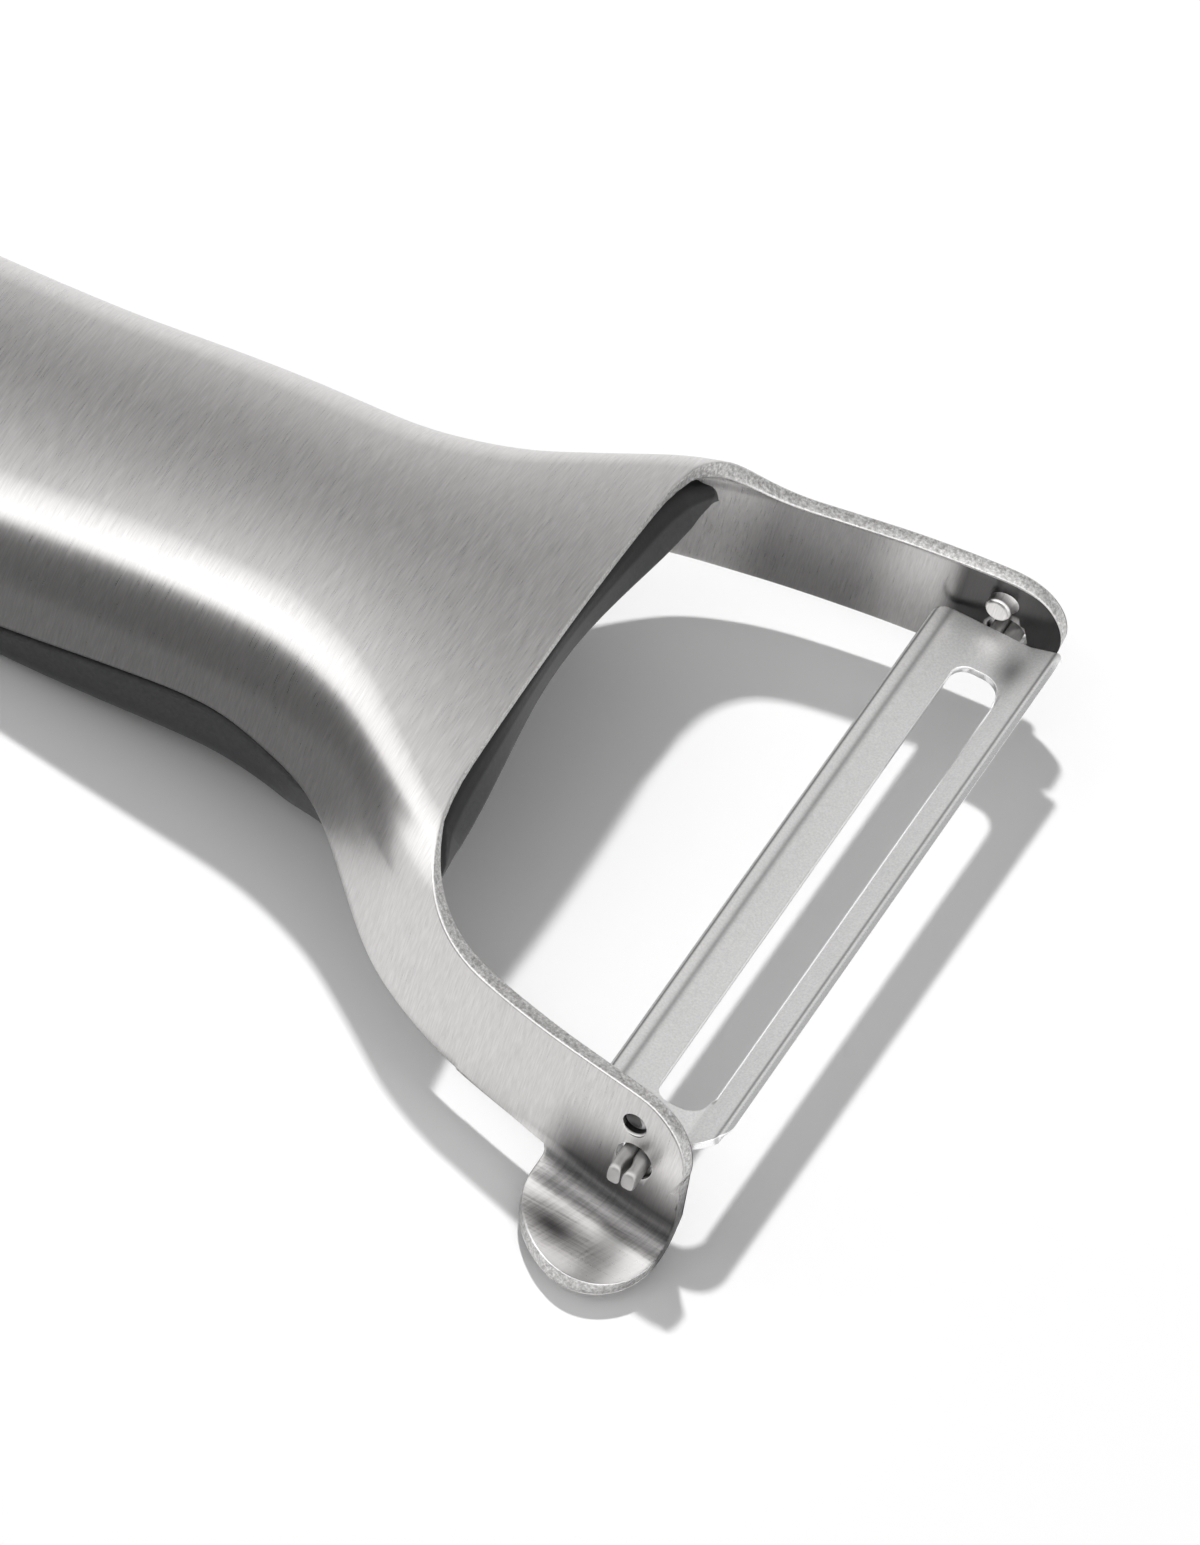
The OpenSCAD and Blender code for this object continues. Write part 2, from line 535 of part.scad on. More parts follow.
// The blade's section: turned-up lip, flat, and turned-up front strip
slot_front = slot_w - slot_back;
crease_x = -slot_back - rear_flat_w;
lip_x = crease_x - lip_w * cos(lip_angle);
lip_z = blade_rise + lip_w * sin(lip_angle);
front_edge_x = slot_front + front_strip_w * cos(front_angle);
front_edge_z = blade_rise + front_strip_w * sin(front_angle);
ground_w = 0.45;
cutting_w = 0.5;
cutting_share = 0.15;
function off_lip(d) = [lip_x + d * sin(lip_angle), lip_z + d * cos(lip_angle)];
function off_crease(d) = [crease_x + d * tan(lip_angle / 2), blade_rise + d];
function off_bend(d) = [slot_front - d * tan(front_angle / 2), blade_rise + d];
function off_front(d, back) = [
    front_edge_x - d * sin(front_angle) - back * cos(front_angle),
    front_edge_z + d * cos(front_angle) - back * sin(front_angle)
];
module blade_section() {
    h = blade_t / 2;
    polygon([
        off_lip(-h), off_crease(-h), off_bend(-h), off_front(-h, 0), off_front(0, 0),
        off_front(h, ground_w), off_bend(h), off_crease(h), off_lip(h)
    ]);
}
// Radii of the blade's corners: rear near, front near, front far, rear far
corner_radii = [1.5, 3.5, 0.6, 1.5];
slot_radii = [1.4, 1.9, 1.9, 1.4];
slot_near = -blade_l / 2 + near_end_l;
slot_far = blade_l / 2 - far_end_l;
stud_from = max(-slot_near, slot_far) + stud_d / 2;
stud_to = arm_half + stud_out;
// Ends of the cutting edge along the slot
cut_near = slot_near + slot_radii[1];
cut_far = slot_far - slot_radii[2];
notch_w = 0.9;
notch_l = 2.1;

module along_y(l) {
    rotate([90, 0, 0]) linear_extrude(height = l, center = true) children();
}

module blade() {
    color("gainsboro") at_pivot() translate([0, 0, pivot_z]) rotate([0, -rest_tilt, 0]) difference() {
        union() {
            intersection() {
                along_y(blade_l) blade_section();
                linear_extrude(height = front_edge_z + blade_t)
                    rounded_plate(lip_x - blade_t, -blade_l / 2, front_edge_x + blade_t, blade_l / 2,
                        corner_radii);
            }
            for (side = [-1, 1])
                across(side, 0, 0, stud_from, stud_to, stud_d / 2);
        }
        translate([0, 0, -cut])
            linear_extrude(height = front_edge_z + 2 * cut)
                rounded_plate(-slot_back, slot_near, slot_front, slot_far, slot_radii);
        translate([0, (cut_near + cut_far) / 2, 0]) along_y(cut_far - cut_near) polygon([
            [slot_front - cut, blade_rise - blade_t / 2 + cutting_share * blade_t],
            [slot_front, blade_rise - blade_t / 2 + cutting_share * blade_t],
            [slot_front + cutting_w, blade_rise + blade_t],
            [slot_front - cut, blade_rise + blade_t]
        ]);
        for (side = [-1, 1])
            translate([0, 0, -stud_d]) linear_extrude(height = 2 * stud_d) polygon([
                [-notch_w / 2, side * (stud_to + cut)],
                [notch_w / 2, side * (stud_to + cut)],
                [notch_w / 2, side * stud_to],
                [0, side * (stud_to - notch_l)],
                [-notch_w / 2, side * stud_to]
            ]);
    }
}

module grip() {
    color("dimgray") at_pivot() polyhedron(
        points = concat(
            [for (p = grid(full_rows, cols)) grip_top(p[0], p[1])],
            [for (p = grid(full_rows, cols)) grip_bottom(p[0], p[1])]
        ),
        faces = skin_faces(full_rows, cols, end_n, full_rows, cols)
    );
}

module grip_core() {
    color("darkslategray") at_pivot() polyhedron(
        points = concat(
            [for (p = grid(core_rows, core_col)) fill_point(p[0], p[1])],
            [for (p = grid(core_rows, core_col)) core_bottom(p[0], p[1])]
        ),
        faces = skin_faces(core_rows, core_col, end_n, core_rows, core_col)
    );
}

module body() {
    color("silver") at_pivot() difference() {
        union() {
            polyhedron(
                points = concat(
                    [for (p = grid(rows, cols)) shell_point(p[0], p[1])],
                    [for (p = grid(rows, cols)) inner_point(p[0], p[1], steel_t)]
                ),
                faces = skin_faces(rows, cols, end_n, full_rows, side_n)
            );
            polyhedron(points = tab_points, faces = tab_faces);
            for (side = [-1, 1])
                across(side, -stop_back, pivot_z + stop_rise, stop_from, stop_half - steel_t / 2, stop_d / 2);
        }
        for (side = [-1, 1]) {
            across(side, 0, pivot_z, arm_half - steel_t - cut, arm_half + cut, pivot_hole_d / 2);
            across(side, -stop_back, pivot_z + stop_rise,
                stop_half - recess_deep, stop_half + cut, recess_d / 2);
        }
    }
}

body();
grip();
grip_core();
blade();
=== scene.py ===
"""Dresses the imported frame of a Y-shaped vegetable peeler.

The pressed steel body, the soft grip and the slotted blade are worked out as
surfaces in millimetres, measured from the blade's pivot axis, and then put in
the frame in metres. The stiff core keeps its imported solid."""

import logging
from dataclasses import dataclass, field
from enum import Enum
from math import asin, cos, pi, radians, sin, tan
from typing import NamedTuple

import bmesh
import bpy
import numpy as np
from bpy.types import Material, Mesh, Object
from mathutils import Matrix, Vector
from numpy import ndarray as Array


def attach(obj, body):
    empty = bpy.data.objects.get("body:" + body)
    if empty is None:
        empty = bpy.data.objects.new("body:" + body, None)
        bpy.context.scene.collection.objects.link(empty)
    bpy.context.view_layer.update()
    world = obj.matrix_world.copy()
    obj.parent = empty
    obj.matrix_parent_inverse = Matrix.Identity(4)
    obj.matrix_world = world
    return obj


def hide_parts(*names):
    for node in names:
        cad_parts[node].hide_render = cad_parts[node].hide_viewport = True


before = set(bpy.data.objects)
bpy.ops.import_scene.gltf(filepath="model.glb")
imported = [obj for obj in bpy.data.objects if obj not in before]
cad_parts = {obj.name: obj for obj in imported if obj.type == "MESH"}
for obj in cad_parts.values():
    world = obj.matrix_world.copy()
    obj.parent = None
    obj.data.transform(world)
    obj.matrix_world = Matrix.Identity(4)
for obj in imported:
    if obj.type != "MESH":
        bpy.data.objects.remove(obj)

Floats = Array | float

log = logging.getLogger("peeler")

# Metres in a millimetre, a right angle, and the mount's distance behind the pivot axis in mm
MM = 0.001
QUARTER = pi / 2
REST_BACK = 102.0

# Places on the steel's outer face. Along it: end of the rear's turn, neck, front edge.
REAR, NECK, FRONT = 7, 22, 32
# Across it: end of the arch, start of the arms, end of the shoulder, lower edge.
ARCH, PART, SHOULDER, EDGE = 3, 6, 10, 13
# Across the grip's lower side: end of the underside, of its corner, of the side face, rim.
UNDER, TURN, SIDE, RIM = 7, 12, 13, 14


class Body(Enum):
    """The bodies of the frame that a piece can ride on."""

    FRAME = "frame"
    SWIVEL = "swivel"


class Slot(Enum):
    """The record's material slots."""

    BODY_STEEL = "body_steel"
    GRIP_RUBBER = "grip_rubber"
    BLADE_STEEL = "blade_steel"


# Curves and sheets


def blend(a: Floats, b: Floats, u: Floats) -> Floats:
    """Value the share u of the way from a to b."""
    return a + u * (b - a)


def ease(u: Floats) -> Floats:
    """Smooth step from 0 to 1, level at both ends."""
    v = np.clip(u, 0.0, 1.0)
    return v * v * (3 - 2 * v)


def unit(v: Array) -> Array:
    """Vectors scaled to length one."""
    return v / np.maximum(np.linalg.norm(v, axis=-1, keepdims=True), 1e-12)


def hand(q: Array) -> Array:
    """-1 for places on the near side, which lie below zero, and 1 for the others."""
    return np.where(q < 0, -1.0, 1.0)


def runs(*parts: tuple[float, float, int]) -> Array:
    """Rising places, from runs of a start, an end and a count that follow on one another."""
    places = [np.linspace(*part) for part in parts]
    return np.concatenate(places[:1] + [run[1:] for run in places[1:]])


def both_ways(side: Array) -> Array:
    """Places from zero outward, mirrored to the near side too."""
    return np.concatenate([-side[:0:-1], side])


def turned_over(faces: Array) -> Array:
    """Faces with their corners in reverse order; a -1 stays last."""
    return np.where(faces[:, 3:] < 0, faces[:, [2, 1, 0, 3]], faces[:, ::-1])


def linked(name: str, data: bpy.types.ID) -> Object:
    """A new object in the scene.

    Args:
        name: Its name.
        data: The mesh, lamp or camera that it shows.

    Returns:
        The object.
    """
    obj = bpy.data.objects.new(name, data)
    bpy.context.scene.collection.objects.link(obj)
    return obj


@dataclass(frozen=True)
class Curve:
    """A smooth curve through points whose first number rises."""

    points: tuple
    softness: float = 1.2

    def at(self, x: Floats) -> Floats:
        """Height of the curve: cubic pieces through the points, averaged with
        a bell-shaped weight so that reflections run on without a kink.

        Args:
            x: Places along the curve, mm.

        Returns:
            The heights, with the shape of x.
        """
        step, margin, tail = 0.25, 12, 4 * self.softness
        p = np.asarray(self.points, float)
        xs = np.arange(p[0, 0] - margin, p[-1, 0] + margin, step)
        n = np.arange(len(p))
        after, before = np.minimum(n + 1, n[-1]), np.maximum(n - 1, 0)
        slopes = (p[after, 1] - p[before, 1]) / (p[after, 0] - p[before, 0])
        i = np.clip(np.searchsorted(p[:, 0], xs, side="right") - 1, 0, n[-2])
        h = p[i + 1, 0] - p[i, 0]
        u = np.clip((xs - p[i, 0]) / h, 0, 1)
        m0, m1, y0, y1 = slopes[i] * h, slopes[i + 1] * h, p[i, 1], p[i + 1, 1]
        ys = y0 + u * (m0 + u * (3 * (y1 - y0) - 2 * m0 - m1 + u * (m0 + m1 - 2 * (y1 - y0))))
        weight = np.exp(-0.5 * (np.arange(-tail, tail + step, step) / self.softness) ** 2)
        half = len(weight) // 2
        ys = np.convolve(np.pad(ys, half, mode="edge"), weight / weight.sum(), mode="same")
        return np.interp(x, xs, ys[half : half + len(xs)])


@dataclass
class Skin:
    """Points and faces of a surface; a face that ends in -1 has three corners."""

    points: Array
    faces: Array
    marks: dict = field(default_factory=dict)

    @staticmethod
    def grid(points: Array, flip: bool = False, **marks: Array) -> "Skin":
        """A skin over a grid of points, one face for each cell.

        Args:
            points: Array of rows by columns by 3.
            flip: Turns the faces' outer side round.
            marks: Named values for the points, rows by columns each.

        Returns:
            The skin.
        """
        rows, cols = points.shape[:2]
        at = np.arange(rows * cols).reshape(rows, cols)
        quads = np.stack([at[:-1, :-1], at[1:, :-1], at[1:, 1:], at[:-1, 1:]], -1).reshape(-1, 4)
        marks = {name: values.reshape(-1) for name, values in marks.items()}
        return Skin(points.reshape(-1, 3), turned_over(quads) if flip else quads, marks)

    @staticmethod
    def join(*skins: "Skin") -> "Skin":
        """One skin out of several, which keep their order.

        Args:
            skins: The skins. A mark that one of them lacks is 0 there.

        Returns:
            The joined skin.
        """
        names = sorted({name for s in skins for name in s.marks})
        starts = np.cumsum([0] + [len(s.points) for s in skins[:-1]])
        faces = [np.where(s.faces < 0, -1, s.faces + start) for s, start in zip(skins, starts)]
        marks = {m: np.concatenate([s.marks.get(m, np.zeros(len(s.points))) for s in skins]) for m in names}
        return Skin(np.concatenate([s.points for s in skins]), np.concatenate(faces), marks)

    def welded(self, near: float = 1e-5) -> "Skin":
        """The skin with points that lie together made one, and flat faces dropped.

        Args:
            near: Distance in mm under which points are one.

        Returns:
            The closed-up skin.
        """
        key = np.round(self.points / near).astype(np.int64)
        _, first, turn = np.unique(key, axis=0, return_index=True, return_inverse=True)
        turn = turn.reshape(-1)
        faces = np.where(self.faces < 0, -1, turn[self.faces])
        for k in range(4):
            a, b = faces[:, k], faces[:, (k + 1) % 4]
            same = (a == b) & (faces[:, 3] >= 0)
            rest = np.stack([faces[same, (k + 1 + i) % 4] for i in range(3)], -1)
            faces[same] = np.concatenate([rest, np.full((same.sum(), 1), -1)], 1)
        whole = (faces[:, 0] != faces[:, 1]) & (faces[:, 1] != faces[:, 2]) & (faces[:, 2] != faces[:, 0])
        return Skin(self.points[first], faces[whole], {m: v[first] for m, v in self.marks.items()})

    def rim(self) -> Array:
        """The skin's border: the edges that only one face has.

        Returns:
            The edges, as pairs of point numbers in the face's direction.
        """
        f, n = self.faces, len(self.points)
        four = f[:, 3] >= 0
        third = np.where(four, f[:, 3], f[:, 0])
        e = np.concatenate([f[:, [0, 1]], f[:, [1, 2]], np.stack([f[:, 2], third], -1), f[four][:, [3, 0]]])
        return e[~np.isin(e[:, 0] * n + e[:, 1], e[:, 1] * n + e[:, 0])]

    def normals(self) -> Array:
        """Outward directions at the points: the cross products of the faces'
        diagonals, which count each face by its area, summed at the corners.

        Returns:
            The directions, of length one.
        """
        f, p = self.faces, self.points
        last = np.where(f[:, 3] >= 0, f[:, 3], f[:, 2])
        face = np.cross(p[f[:, 2]] - p[f[:, 0]], p[last] - p[f[:, 1]])
        out = np.zeros_like(p)
        for k in range(4):
            real = f[:, k] >= 0
            np.add.at(out, f[real, k], face[real])
        return unit(out)

    def sheet(self, thick: Floats, round_r: float) -> "Skin":
        """A plate with this skin as its outer face and rounded edges. Along
        the rim a quarter circle leads from the outer face to the cut edge, and
        another from there to the inner face.

        Args:
            thick: Thickness of the plate, mm, one for all points or one each.
            round_r: Radius of the rounded edges, mm.

        Returns:
            The closed plate, with the marks "edge" on its cut edge and "inner"
            on its inner face.
        """
        n, p, rim = self.normals(), self.points, self.rim()
        count = len(p)
        thick = np.broadcast_to(np.asarray(thick, float), (count,))[:, None]
        out = np.zeros_like(p)
        away = np.cross(p[rim[:, 1]] - p[rim[:, 0]], n[rim[:, 0]])
        for end in rim.T:
            np.add.at(out, end, away)
        out = unit(out - n * np.sum(out * n, -1, keepdims=True))
        border = np.unique(rim)
        slot = np.full(count, -1)
        slot[border] = np.arange(len(border))
        e, m, o, t = out[border], n[border], p[border], thick[border]
        r = np.minimum(round_r, 0.4 * t)
        face, back = p.copy(), p - thick * n
        face[border] = o - r * e
        back[border] = o - t * m - r * e
        steps = [(1, r, a) for a in (30, 60, 90)] + [(-1, t - r, a) for a in (90, 60, 30)]
        layers = [
            o - r * e - deep * m + r * (side * cos(radians(a)) * m + sin(radians(a)) * e)
            for side, deep, a in steps
        ]
        rings = [rim] + [slot[rim] + 2 * count + k * len(border) for k in range(len(steps))] + [rim + count]
        strips = [np.stack([a[:, 1], a[:, 0], b[:, 0], b[:, 1]], -1) for a, b in zip(rings[:-1], rings[1:])]
        inner = turned_over(np.where(self.faces < 0, -1, self.faces + count))
        marks = {k: np.concatenate([v, v] + [v[border]] * len(steps)) for k, v in self.marks.items()}
        cut = [(a - 30) / 60 for _, _, a in steps]
        marks["edge"] = np.repeat([0] + cut, [2 * count] + [len(border)] * len(steps))
        marks["inner"] = np.repeat([0.0, 1.0, 0.0], [count, count, len(steps) * len(border)])
        points = np.concatenate([face, back] + layers)
        return Skin(points, np.concatenate([self.faces, inner] + strips), marks)

    def mesh(self, name: str, sharp: float = 40.0) -> Mesh:
        """Puts the skin into a mesh in the frame, in metres.

        Args:
            name: Name of the mesh.
            sharp: Angle in degrees past which an edge is shaded sharp.

        Returns:
            The mesh.
        """
        p = (self.points + np.array([REST_BACK, 0, 0])) * MM
        four = self.faces[:, 3] >= 0
        faces = self.faces[four].tolist() + self.faces[~four][:, :3].tolist()
        mesh = bpy.data.meshes.new(name)
        mesh.from_pydata(p.tolist(), [], faces)
        for key, values in self.marks.items():
            layer = mesh.attributes.new(key, "FLOAT", "POINT")
            layer.data.foreach_set("value", values.astype(np.float32))
        mesh.polygons.foreach_set("use_smooth", np.ones(len(mesh.polygons), bool))
        mesh.set_sharp_from_angle(angle=radians(sharp))
        mesh.validate()
        mesh.update()
        return mesh


def turned(profile: Array) -> Skin:
    """Surface of revolution: a profile is carried round the Y axis.

    Args:
        profile: Pairs of a place along Y and a radius, from one end to the other.

    Returns:
        The closed skin, faces outward when Y rises along the profile.
    """
    steps = 48
    a = np.linspace(0, 4 * QUARTER, steps + 1)
    y, r = np.asarray(profile, float).T[:, :, None]
    points = np.stack([r * np.cos(a), y + 0 * a, r * np.sin(a)], -1)
    points[:, -1] = points[:, 0]
    return Skin.grid(points).welded()


def moved(skin: Skin, by: tuple, mirror_y: bool = False) -> Skin:
    """A copy of a skin, mirrored across Y if asked and then moved by a distance in mm."""
    points = skin.points * (1, -1 if mirror_y else 1, 1) + np.array(by, float)
    return Skin(points, turned_over(skin.faces) if mirror_y else skin.faces, dict(skin.marks))


# The peeler's form


class Section(NamedTuple):
    """Cross-sections at places along the peeler, mm: half width, crown, lower
    edge, the shoulder's radius and centre, the arch's radius, the wall's top."""

    half: Floats
    crown: Floats
    edge: Floats
    r: Floats
    cy: Floats
    cz: Floats
    arch_r: Floats
    top: Floats


@dataclass
class PressedForm:
    """Sizes of the pressed steel sheet, mm, from the blade's pivot axis."""

    head_w: float = 67.2
    pivot_z: float = 9.3
    throat: float = 27.0
    tip_reach: float = 4.4
    arm_foot: float = 4.6
    arm_h: float = 11.4
    arm_dip: float = 0.6
    head_crown: float = 23.4
    neck_reach: float = 50.0
    handle_len: float = 100.0
    neck_w: float = 30.8
    butt_w: float = 33.2
    butt_crown: float = 12.7
    butt_edge: float = 2.4
    neck_edge: float = 10.5
    steel_t: float = 1.4
    shoulder_r: float = 8.0
    head_shoulder_r: float = 6.0
    arch_angle: float = radians(12)
    splay: float = radians(3.5)
    part_angle: float = radians(42)
    corner_l: float = 10.0
    corner_w: float = 13.5
    corner_power: float = 2.3
    corner_run: float = 9.0
    tip_lean: float = 0.7
    arm_draft_share: float = 0.03

    def __post_init__(self) -> None:
        """Works out the curves along the peeler. A table holds shares: of the
        way along, from the neck or the rear, and of the rise."""
        self.front_x, self.neck_x = -self.throat, -self.neck_reach
        self.butt_cx = self.neck_x - self.handle_len + self.butt_w / 2
        self.tip_r = self.arm_h / 2
        self.tip_cx = self.tip_reach - self.tip_r
        self.tip_cz = self.arm_foot + self.tip_r
        self.arm_top = self.arm_foot + self.arm_h
        run, full = self.neck_x - self.butt_cx, self.front_x - self.butt_cx
        neck_half, top_half = self.neck_w / 2, self.head_w / 2 - self.arm_draft_share * self.arm_h
        back = ((1, 1), (0.75, 0.8), (0.5, 0.35), (0.3, 0.05), (0.15, -0.06))
        flare = (
            (0, 0), (0.1, 0.033), (0.22, 0.144), (0.29, 0.265), (0.36, 0.403), (0.42, 0.53), (0.46, 0.602),
            (0.52, 0.682), (0.62, 0.786), (0.774, 0.895), (0.874, 0.947), (1, 1), (1.1, 1.035),
        )
        rise = (
            (0, 0), (0.15, 0.01), (0.27, 0.04), (0.36, 0.1), (0.46, 0.24), (0.57, 0.44), (0.65, 0.64),
            (0.74, 0.82), (0.88, 0.965), (1, 1), (1.35, 1),
        )
        up = ((1, 0), (0.6, 0.01), (0.42, 0.1), (0.3, 0.3), (0.2, 0.52), (0.1, 0.78))
        down = (
            (0, 0), (0.12, 0.01), (0.22, 0.0), (0.29, 0.14), (0.36, 0.48), (0.47, 0.82), (0.64, 1), (1.2, 1),
        )
        self.half = Curve(
            tuple((self.neck_x - a * run, blend(neck_half, self.butt_w / 2, b)) for a, b in back)
            + tuple((self.neck_x * (1 - a), blend(neck_half, top_half, b)) for a, b in flare)
        )
        self.crown = Curve(
            tuple((self.butt_cx + a * full, blend(self.butt_crown, self.head_crown, b)) for a, b in rise),
            softness=2.0,
        )
        self.edge = Curve(
            tuple((self.neck_x - a * run, blend(self.butt_edge, self.neck_edge, b)) for a, b in up)
            + tuple((self.neck_x * (1 - a), blend(self.neck_edge, self.arm_foot, b)) for a, b in down)
        )
        self.front = self.section(self.front_x)
        self.corner_end = asin((self.arm_top - self.arm_dip - self.front.cz) / self.front.r)

    def section(self, x: Floats) -> Section:
        """The cross-section at places along the peeler: a shallow arch, a
        round shoulder and a wall that splays outward on its way down.

        Args:
            x: Places along the peeler.

        Returns:
            The sections.
        """
        half, crown = self.half.at(x), self.crown.at(x)
        forward = ease((x - self.neck_x) / (self.front_x - self.neck_x))
        r = blend(self.shoulder_r, self.head_shoulder_r, forward)
        cy = half - r * cos(self.splay)
        arch_r = (cy + r * sin(self.arch_angle)) / sin(self.arch_angle)
        cz = crown - arch_r * (1 - cos(self.arch_angle)) - r * cos(self.arch_angle)
        return Section(half, crown, self.edge.at(x), r, cy, cz, arch_r, cz + r * sin(self.splay))

    def wall(self, s: Section, z: Floats) -> Floats:
        """Distance from the middle to the splayed wall at a height."""
        return s.half + (s.top - z) * tan(self.splay)

    def angle(self, q: Floats) -> Floats:
        """Angle on the shoulder's circle, in even steps from the arch to the
        arms' start and from there to the wall.

        Args:
            q: Places across.

        Returns:
            The angles above the horizontal.
        """
        upper = (np.clip(q, ARCH, PART) - ARCH) / (PART - ARCH)
        lower = (np.clip(q, PART, SHOULDER) - PART) / (SHOULDER - PART)
        above = blend(QUARTER - self.arch_angle, self.part_angle, upper)
        return np.where(q < PART, above, blend(self.part_angle, self.splay, lower))

    def across(self, s: Section, q: Floats) -> tuple[Array, Array]:
        """Places on sections: over the arch, round the shoulder, down the wall.

        Args:
            s: The sections.
            q: Places across.

        Returns:
            The distance from the middle and the height.
        """
        on_arch = self.arch_angle * np.clip(q, 0, ARCH) / ARCH
        a = self.angle(q)
        low = blend(s.top, s.edge, (q - SHOULDER) / (EDGE - SHOULDER))
        at = [q <= ARCH, q <= SHOULDER]
        y = np.select(at, [s.arch_r * np.sin(on_arch), s.cy + s.r * np.cos(a)], self.wall(s, low))
        z = np.select(at, [s.crown - s.arch_r * (1 - np.cos(on_arch)), s.cz + s.r * np.sin(a)], low)
        return y, z

    def place(self, q: Floats) -> Floats:
        """Distance round the front section, over shoulder and arch, from the corner's start."""
        arch = self.front.arch_r * self.arch_angle * (1 - np.clip(q, 0, ARCH) / ARCH)
        return self.corner_w - self.front.r * (self.angle(q) - self.corner_end) - arch

    def forward(self, q: Array) -> Array:
        """How far the front edge lies forward: a squarish ellipse from the straight edge into the arm."""
        u = np.maximum(self.place(np.minimum(np.abs(q), PART)) / self.corner_w, 0)
        return self.corner_l * (1 - (1 - u**self.corner_power) ** (1 / self.corner_power))

    def half_at(self, x: Floats, z: Floats) -> Floats:
        """Distance from the middle to the outer face at a height: on the
        shoulder's circle above the wall, on the splayed wall below.

        Args:
            x: Places along the peeler.
            z: Heights.

        Returns:
            The distances.
        """
        s = self.section(x)
        circle = s.cy + np.sqrt(np.maximum(s.r**2 - (z - s.cz) ** 2, 0))
        return np.where(z > s.top, circle, self.wall(s, z))

    def outer(self, p: Array, q: Array) -> Array:
        """Outer face of the handle and head: sections one behind another, and
        a section that swings round behind the rear end.

        Args:
            p: Places along.
            q: Places across; the near side is below zero.

        Returns:
            The points.
        """
        handle = blend(self.butt_cx, self.neck_x, np.maximum(p - REAR, 0) / (NECK - REAR))
        x = np.where(p <= NECK, handle, blend(self.neck_x, self.front_x, (p - NECK) / (FRONT - NECK)))
        x = x + self.forward(q) * np.maximum(0, 1 - (self.front_x - x) / self.corner_run) ** 2
        turn = QUARTER * np.minimum(p / REAR, 1)
        y, z = self.across(self.section(x), np.abs(q))
        return np.stack([x - y * np.cos(turn), hand(q) * y * np.sin(turn), z], -1)

    def outward(self, p: Array, q: Array) -> Array:
        """Directions square to the outer face, from small steps along it.

        Args:
            p: Places along.
            q: Places across.

        Returns:
            The directions, of length one.
        """
        step, margin = 0.02, 0.04
        q = hand(q) * np.clip(np.abs(q), margin, EDGE - margin)
        p = np.clip(p, margin, FRONT - margin)
        along = self.outer(p + step, q) - self.outer(p - step, q)
        over = self.outer(p, q + step) - self.outer(p, q - step)
        return unit(np.cross(along, over))

    def inside(self, p: Array, q: Array, depth: float) -> Array:
        """Points a depth below the outer face."""
        return self.outer(p, q) - depth * self.outward(p, q)


@dataclass
class EyerTab:
    """Sizes of the scoop for potato eyes at the near arm's foot, mm."""

    reach: float = 9.6
    rear_x: float = -7.0
    bend_r: float = 2.6
    bend_angle: float = radians(78)
    turn: float = radians(98)
    bend_share: float = 0.4
    swell: float = 0.75
    front_swell: float = 0.2625
    notch_r: float = 0.6
    notch_fade: float = 0.45
    roundness: float = 0.92
    lead_in: float = 6.0
    fade: float = 4.0
    mark_run: float = 2.0
    # Painted shade: on the arm above the tab and along the bend, and a darker patch on the scoop
    dim_h: float = 7.0
    dim_l: float = 4.2
    dark_patch: float = 1.2
    dark_patch_at: tuple = (6.3, -3.2)
    dark_patch_size: tuple = (1.5, 3.2)

    def __post_init__(self) -> None:
        """Works out where the scoop starts, behind its notch."""
        self.start = self.rear_x - self.notch_r

    def beside(self, x: Array) -> Array:
        """0 behind the tab, 1 beside it."""
        return ease((x - self.rear_x + self.fade / 2) / self.fade)

    def dim(self, length: Array, x: Array) -> Array:
        """Painted shade on the scoop, for dark reflections: along the bend, and
        in a darker patch.

        Args:
            length: Distance along the curve from the bend's start.
            x: Places along the peeler.

        Returns:
            The shade, 0 for none.
        """
        away = [(v - at) / size for v, at, size in zip((length, x), self.dark_patch_at, self.dark_patch_size)]
        patch = self.dark_patch * np.exp(-(away[0] ** 2) - away[1] ** 2)
        return ease(self.dim_l - length) * self.beside(x) + patch

    def curve(self, length: Array) -> tuple[Array, Array]:
        """Outward distance and drop along the scoop's curve: a tight circle,
        then a shallow one that goes on without a kink.

        Args:
            length: Distance along the curve from the bend's start.

        Returns:
            The outward distance and the drop.
        """
        bend_l = self.bend_r * self.bend_angle
        scoop_r = (self.reach - bend_l) / (self.turn - self.bend_angle)
        a = np.minimum(length / self.bend_r, self.bend_angle)
        b = self.bend_angle + np.maximum(length - bend_l, 0) / scoop_r
        out = self.bend_r * (1 - np.cos(a)) + scoop_r * (cos(self.bend_angle) - np.cos(b))
        drop = self.bend_r * np.sin(a) + scoop_r * (np.sin(b) - sin(self.bend_angle))
        return out, drop


